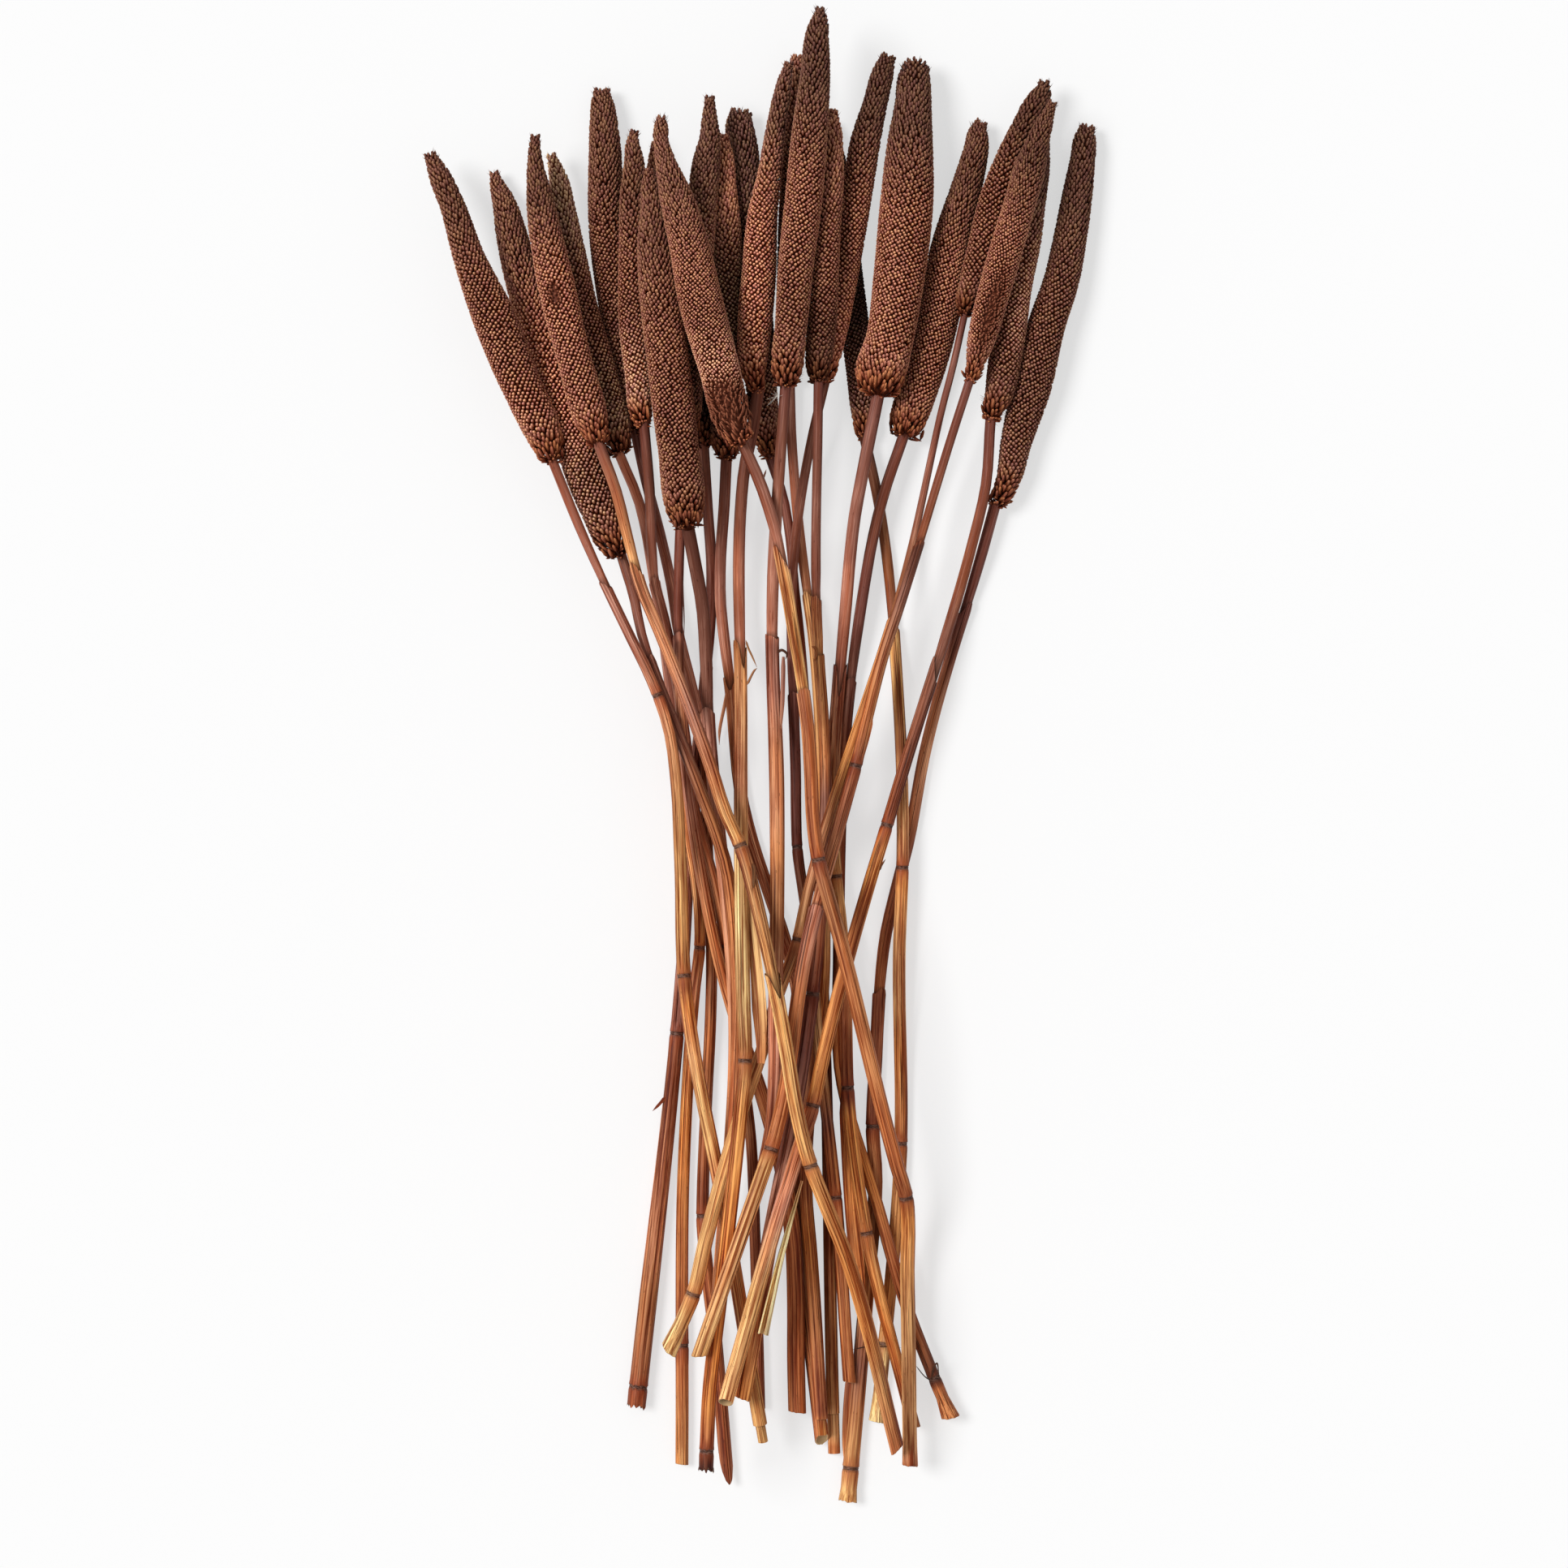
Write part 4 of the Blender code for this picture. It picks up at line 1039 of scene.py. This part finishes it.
def edgeRise(look, dice, nominal, lift, turn, foot):
    # how far each point of an edge stands above its row: a mouth's tip falls off as the cube of
    # a cosine, a slit is a bell, tears are waves; the foot's slant fades out up the stem
    tear = waves(dice, 6, 0)
    rise = np.zeros(turn.shape)
    for mouth in look["mouths"]:
        mine = (lift > 0) & (lift <= 1) & (nominal <= mouth["y"] + 0.2)
        mine &= nominal >= mouth["y"] - mouthLook["run"]
        facing = 0.5 + 0.5 * np.cos(turn - np.radians(mouth["at"]))
        apart = turnApart(turn, np.radians(mouth.get("slitAt", 0)))
        slit = mouth.get("slit", 0) * np.exp(-(apart / mouthLook["slit"]) ** 2)
        edge = mouth["tip"] * facing**3 - slit + mouthLook["tear"] * tear(3 * turn, 0)
        rise = np.where(mine[:, None], edge * lift[:, None], rise)
    footLook = look.get("foot", {})
    if "stub" in footLook:
        return rise
    steep = footLook.get("slant", 0.5)
    slant = steep * (0.5 - 0.5 * np.cos(turn - np.radians(footLook.get("at", 0))))
    slant = slant + footLook.get("ragged", 0.12) * (tear(4 * turn, 0) + 1)
    run = footRun["slant"] + footLook.get("slant", 0)
    near = np.clip((foot + run - nominal) / run, 0, 1)
    rise = np.where((lift == 2)[:, None], slant, rise)
    return np.where(((lift == 0) & (near > 0))[:, None], slant * near[:, None], rise)


def skinMarks(**given):
    # the marks that every part of a stem carries, 0 where they aren't given
    names = ("straight", "along", "groove", "rib", "crest", "ribbed", "joint", "skin", "inside",
             "cut", "down")
    return {name: given.get(name, 0.0) for name in names}


def growStem(number, look):
    # one closed tube: radius = the CAD ring's x girth of the row x ribs x a slow swell, with its
    # points in order of the rows down the stem and of the ribs' columns round it
    rings = readRings("stem_%02d" % number)
    dice = np.random.default_rng(200 + number)
    top, foot = rings["y"][-1] / mm + skinLook["into"], rings["y"][0] / mm
    rows, layers = stemRows(look, top, foot)
    nominal, girth, lift, joint, skin, inside, cut = rows.T
    sheath = np.searchsorted(-np.array(layers), -nominal - 0.005)
    turns, depth, ribTone = ribTurns(dice, len(layers) + 1)
    twist = dice.uniform(-skinLook["twist"], skinLook["twist"])
    turn = turns[None] + (nominal * twist * 0.001)[:, None]
    columns = turn.shape[1]

    # ribs fade at joints, under mouths' rims and on the bare neck
    firstMouth = max(mouth["y"] for mouth in look["mouths"])
    ribbed = (nominal < firstMouth + 0.005) * (1 - np.clip(skin * 1.2, 0, 1))
    ribbed = ribbed * (inside < 0.5) * (cut < 0.5)
    kind = np.arange(columns) % 4
    groove, crest = (kind == 0) * 1.0, (kind == 2) * 1.0
    amount = np.repeat(depth, 4, axis=1)[sheath] * groove
    shape = 1 - amount * ribbed[:, None] + skinLook["crest"] * crest * ribbed[:, None]

    y = (nominal[:, None] + edgeRise(look, dice, nominal, lift, turn, foot)) * mm
    centre, along, across, up = follow(rings, y)
    plain = np.interp(y, rings["y"], rings["radius"])
    radius = plain * girth[:, None] * shape * (1 + skinLook["swell"] * waves(dice, 4, 90)(turn, y))
    points = centre + radius[..., None] * outwardAt(across, up, turn)
    sunk = skinLook["floor"] * mm - points[..., 2].min(axis=1)
    points[..., 2] += np.maximum(sunk, 0)[:, None]  # a row that dips into the floor is lifted out
    straight = np.stack([radius * np.cos(turn), radius * np.sin(turn), y], axis=-1).reshape(-1, 3)
    # painted shade: the deeper a groove is cut, the darker it is painted
    dark = np.where(groove > 0, np.clip(amount / skinLook["deep"], 0, 1) ** 0.5, 0)
    marks = skinMarks(
        straight=straight + dice.uniform(-1, 1, 3),
        along=np.repeat((top - nominal) / (top - foot), columns),
        groove=(dark * ribbed[:, None]).ravel(), crest=(crest * ribbed[:, None]).ravel(),
        rib=(np.repeat(ribTone, 4, axis=1)[sheath] * ribbed[:, None]).ravel(),
        ribbed=np.repeat(ribbed, columns), joint=np.repeat(joint, columns),
        skin=np.repeat(skin, columns), inside=np.repeat(inside, columns),
        cut=np.repeat(cut, columns))
    parts = [makePart(points, tubeFaces(len(rows), columns), **marks)]
    for strip in look.get("strips", []):
        parts.append(makeStrip(rings, strip, dice, top, foot))
    for tuft in look.get("tufts", []):
        parts += makeDown(rings, tuft, dice)
    material = stemMaterial("milletStem%02d" % number, look, top, foot)
    piece = makePiece("millet_stem_%02d" % number, parts, material, skinLook["crisp"])
    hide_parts("stem_%02d" % number)


stripLook = dict(rows=22, columns=8, thick=0.14, thinnest=0.3, at=(0, 0.15, 0.7, 1),
                 width=(0.1, 1, 0.8, 0.08))


def makeStrip(rings, strip, dice, top, foot):
    # a torn strip of sheath: a flat tapering ribbon along a curve given in the stem's own
    # frame, with an oval section
    knots = np.array(strip["path"], float)
    length = np.linspace(0, 1, len(knots))
    count, columns = stripLook["rows"], stripLook["columns"]
    t = np.linspace(0, 1, count)
    side, y, high = (through(length, knots[:, k], t) * mm for k in range(3))
    centre, along, across, up = follow(rings, y)
    line = centre + across * side[:, None] + up * high[:, None]
    ahead = unit(np.gradient(line, axis=0))
    flat = unit(np.cross(ahead, up))
    face = np.cross(flat, ahead)
    turn = evenTurns(columns)
    taper = np.interp(t, stripLook["at"], strip.get("width", stripLook["width"]))
    half = strip["wide"] / 2 * mm * taper
    thinnest = stripLook["thinnest"]
    thick = stripLook["thick"] * mm * np.clip(taper + thinnest, thinnest, 1)
    points = (line[:, None] + flat[:, None] * (half[:, None] * np.cos(turn))[..., None]
              + face[:, None] * (thick[:, None] * np.sin(turn))[..., None])
    place = np.stack([half[:, None] * np.cos(turn), np.zeros((count, columns)),
                      np.repeat(y[:, None], columns, axis=1)], axis=-1)
    # a strip's dark is painted shade, carried by the same mark as a hollow
    return makePart(points, tubeFaces(count, columns), **skinMarks(
        straight=place.reshape(-1, 3) + dice.uniform(-1, 1, 3),
        along=np.repeat((top - y / mm) / (top - foot), columns), rib=strip.get("pale", 0.0),
        ribbed=1.0, skin=strip.get("red", 0.0), inside=strip.get("dark", 0.0)))


downLook = dict(rows=6, columns=3, half=0.07, end=0.3, bend=0.9, length=(0.5, 1), floor=0.3)


def makeDown(rings, tuft, dice):
    # a tuft of white down: threads from one spot, each a parabola in a random direction
    across, y, up = tuft["spot"]
    centre, along, side, high = follow(rings, np.array([y * mm]))
    spot = centre[0] + side[0] * across * mm + high[0] * up * mm
    count, joints = tuft["threads"], downLook["rows"]
    start = unit(dice.normal(0, 1, (count, 3)))
    bend = dice.normal(0, downLook["bend"], (count, 3))
    t = np.linspace(0, 1, joints)[None, :, None]
    line = (start[:, None] * t + bend[:, None] * t**2) * tuft["reach"] * mm
    line = spot + line * dice.uniform(*downLook["length"], (count, 1, 1))
    line[..., 2] = np.maximum(line[..., 2], downLook["floor"] * mm)
    ahead = unit(np.gradient(line, axis=1))
    one = unit(np.cross(ahead, [0.3, 0.2, 0.9]))  # any direction that no thread follows
    out = outwardAt(one[:, :, None], np.cross(ahead, one)[:, :, None], evenTurns(downLook["columns"]))
    thin = downLook["half"] * mm * np.linspace(1, downLook["end"], joints)[None, :, None, None]
    faces = tubeFaces(joints, downLook["columns"])
    return [makePart(thread, faces, **skinMarks(straight=thread.reshape(-1, 3), along=0.5, down=1.0))
            for thread in line[:, :, None] + thin * out]


# stem shading: noise scales per metre, how much each moves the light of the skin, the values from
# which each effect starts and where it is whole, and tints of pale, deep, cracked and red parts
fibreShade = dict(
    broad=(330, 330, 9), streak=(1300, 1300, 15), fine=(3000, 3000, 60), blotch=(200, 200, 55),
    warm=(420, 420, 17), speck=(1500, 1500, 420), crack=(1500, 1500, 22), dust=(900, 900, 2500),
    # byCrest is a painted highlight on the ribs' crests
    byStreak=4.6, byBroad=2.0, byFine=1.9, byBlotch=1.2, byRib=0.10, byCrest=0.05, light=0.02,
    warmFrom=(0.46, 0.66), paleFrom=(0.02, 0.52), deepFrom=(-0.16, -0.60), crackFrom=(0.62, 0.68),
    speckFrom=(0.66, 0.74), dustFrom=(0.40, 0.62), bare=0.25, warmAmount=0.85,
    # grooveAmount is how much painted shade darkens the grooves
    grooveAmount=0.55, crackAmount=0.8, skinAmount=0.55, insideAmount=0.9,
    warmTint=(0.93, 0.68, 0.50), pale=(1.75, 2.25, 2.45), deep=(0.42, 0.23, 0.155),
    black=(0.14, 0.07, 0.05), skin=(0.85, 0.52, 0.42),
    roughness=0.42, roughStreak=0.3, roughGroove=0.3, gloss=0.10, bump=(0.5, 0.25))


def fibreGroup(shade):
    # dry fibres along the stalk: long streaks and fine lines on the straightened place, crests
    # pale with a painted highlight, tones of whole ribs, grooves redder and darkened with painted
    # shade, cracks and small dark specks
    tree, given, made = newGroup("dryFibre", {
        "Place": (0.0, 0.0, 0.0), "Base": (0.5, 0.2, 0.08, 1.0), "Groove": 0.0, "Rib": 0.0,
        "Crest": 0.0, "Ribbed": 1.0, "Specks": 0.5})

    def noise(name, *settings):
        # noise on the straightened place, at the scale of that name
        return noiseOn(tree, given["Place"], shade[name], *settings)

    broad, streak, fine = noise("broad"), noise("streak", 4.0, 0.68), noise("fine")
    blotch, warm = noise("blotch", 3.0), noise("warm", 3.0, 0.6)
    onRibs = total(tree, product(tree, given["Ribbed"], 1 - shade["bare"]), shade["bare"])
    streaks = total(tree, centred(tree, streak, shade["byStreak"]),
                    centred(tree, broad, shade["byBroad"]))
    light = total(tree, product(tree, streaks, onRibs), centred(tree, fine, shade["byFine"]),
                  centred(tree, blotch, shade["byBlotch"]), product(tree, given["Rib"], shade["byRib"]),
                  shade["light"], product(tree, given["Crest"], shade["byCrest"]))
    warmth = product(tree, spread(tree, warm, *shade["warmFrom"]), shade["warmAmount"])
    base = mixColour(tree, warmth, given["Base"], timesColour(tree, given["Base"], shade["warmTint"]))
    black = timesColour(tree, base, shade["black"])
    colour = mixColour(tree, spread(tree, light, *shade["paleFrom"]), base,
                       timesColour(tree, base, shade["pale"]))
    colour = mixColour(tree, spread(tree, light, *shade["deepFrom"]), colour,
                       timesColour(tree, base, shade["deep"]))
    # painted shade in the grooves
    colour = mixColour(tree, product(tree, given["Groove"], shade["grooveAmount"]), colour, black)
    opened = product(tree, spread(tree, noise("crack"), *shade["crackFrom"]),
                     product(tree, given["Ribbed"], shade["crackAmount"]))
    colour = mixColour(tree, opened, colour, black)
    dots = product(tree, spread(tree, noise("speck"), *shade["speckFrom"]), given["Specks"])
    feed(tree, made["Color"], mixColour(tree, dots, colour, black))
    rough = total(tree, centred(tree, streak, shade["roughStreak"]), shade["roughness"],
                  product(tree, given["Groove"], shade["roughGroove"]))
    feed(tree, made["Roughness"], rough)
    lines = total(tree, product(tree, fine, 0.5), streak, product(tree, opened, -0.6))
    feed(tree, made["Height"], product(tree, lines, total(tree, given["Ribbed"], 0.25)))
    return tree


def stemMaterial(name, look, top, foot):
    # the tint down the stem goes through the fibre group; then dusty joint rings, pale cuts,
    # painted shade on insides and hollows, and white down lie over it, each by its own mark
    material, tree, shader = newMaterial(name)
    shade = fibreShade
    places = np.clip([(top - y) / (top - foot) for y, colour in look["tint"]], 0.0, 1.0)
    stops = [(place, colours[colour]) for place, (y, colour) in zip(places, look["tint"])]
    base = rampOf(tree, markOf(tree, "along"), stops)
    red = product(tree, markOf(tree, "skin"), shade["skinAmount"])
    straight = markOf(tree, "straight", "Vector")
    group = addNode(tree, "Group", node_tree=dryFibre)
    feed(tree, group.inputs["Place"], straight)
    reddish = mixColour(tree, red, base, timesColour(tree, base, shade["skin"]))
    feed(tree, group.inputs["Base"], reddish)
    for title in ("Groove", "Rib", "Crest", "Ribbed"):
        feed(tree, group.inputs[title], markOf(tree, title.lower()))
    group.inputs["Specks"].default_value = look.get("specks", 0.5)
    dusty = spread(tree, noiseOn(tree, straight, shade["dust"]), *shade["dustFrom"])
    ring = mixColour(tree, dusty, (*colours["ringDark"], 1.0), (*colours["ringDust"], 1.0))
    colour = mixColour(tree, markOf(tree, "joint"), group.outputs["Color"], ring)
    # insides and hollows are darkened with painted shade
    inside = product(tree, markOf(tree, "inside"), shade["insideAmount"])
    layers = ((markOf(tree, "cut"), "pith"), (inside, "hollow"), (markOf(tree, "down"), "down"))
    for amount, over in layers:
        colour = mixColour(tree, amount, colour, (*colours[over], 1.0))
    finishShader(tree, shader, colour, group, shade["gloss"], shade["bump"])
    return material


dryFibre = fibreGroup(fibreShade)
for stemNumber, stemStyle in stemLook.items():
    growStem(stemNumber, stemStyle)
print(len(stemLook), "stems are grown")


# the loose leaf

leafLook = dict(rows=26, half=15, wall=0.30, mouth=70, faces=110, crimps=6, crimp=0.05, thinnest=0.5,
                specks=0.2, crisp=50,
                tint=[(-138, "paleGold"), (-150, "straw"), (-158, "paleStraw"), (-191, "paleStraw")])


def growLeaf(look):
    # a rolled strip: an open C section, outer arc then inner arc, carried down the centre line
    rings = readRings("loose_leaf")
    top, foot = rings["y"][-1] / mm, rings["y"][0] / mm
    nominal = np.linspace(top, foot, look["rows"])
    half = look["half"]
    gap = np.radians(look["mouth"]) / 2
    sweep = np.linspace(gap, circle - gap, half) + np.radians(look["faces"])
    turn = np.concatenate([sweep, sweep[::-1]])
    outer = np.arange(2 * half) < half
    y = np.repeat(nominal[:, None] * mm, 2 * half, axis=1)
    centre, along, across, up = follow(rings, y)
    girth = np.interp(y, rings["y"], rings["radius"])
    crimped = girth * (1 + look["crimp"] * np.sin(look["crimps"] * turn))
    inner = np.maximum(crimped - look["wall"] * mm, girth * look["thinnest"])
    radius = np.where(outer, crimped, inner)
    points = centre + radius[..., None] * outwardAt(across, up, turn)
    straight = np.stack([radius * np.cos(turn), radius * np.sin(turn), y], axis=-1).reshape(-1, 3)
    part = makePart(points, tubeFaces(look["rows"], 2 * half), **skinMarks(
        straight=straight, along=np.repeat((top - nominal) / (top - foot), 2 * half), ribbed=1.0))
    material = stemMaterial("milletStem99", look, top, foot)
    piece = makePiece("loose_leaf_strip", [part], material, look["crisp"])
    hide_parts("loose_leaf")


growLeaf(leafLook)
print("the loose leaf is rolled")

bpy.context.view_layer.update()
shown = [piece for piece in bpy.data.objects if piece.type == "MESH" and not piece.hide_render]
print("faces:", sum(len(piece.data.polygons) for piece in shown))
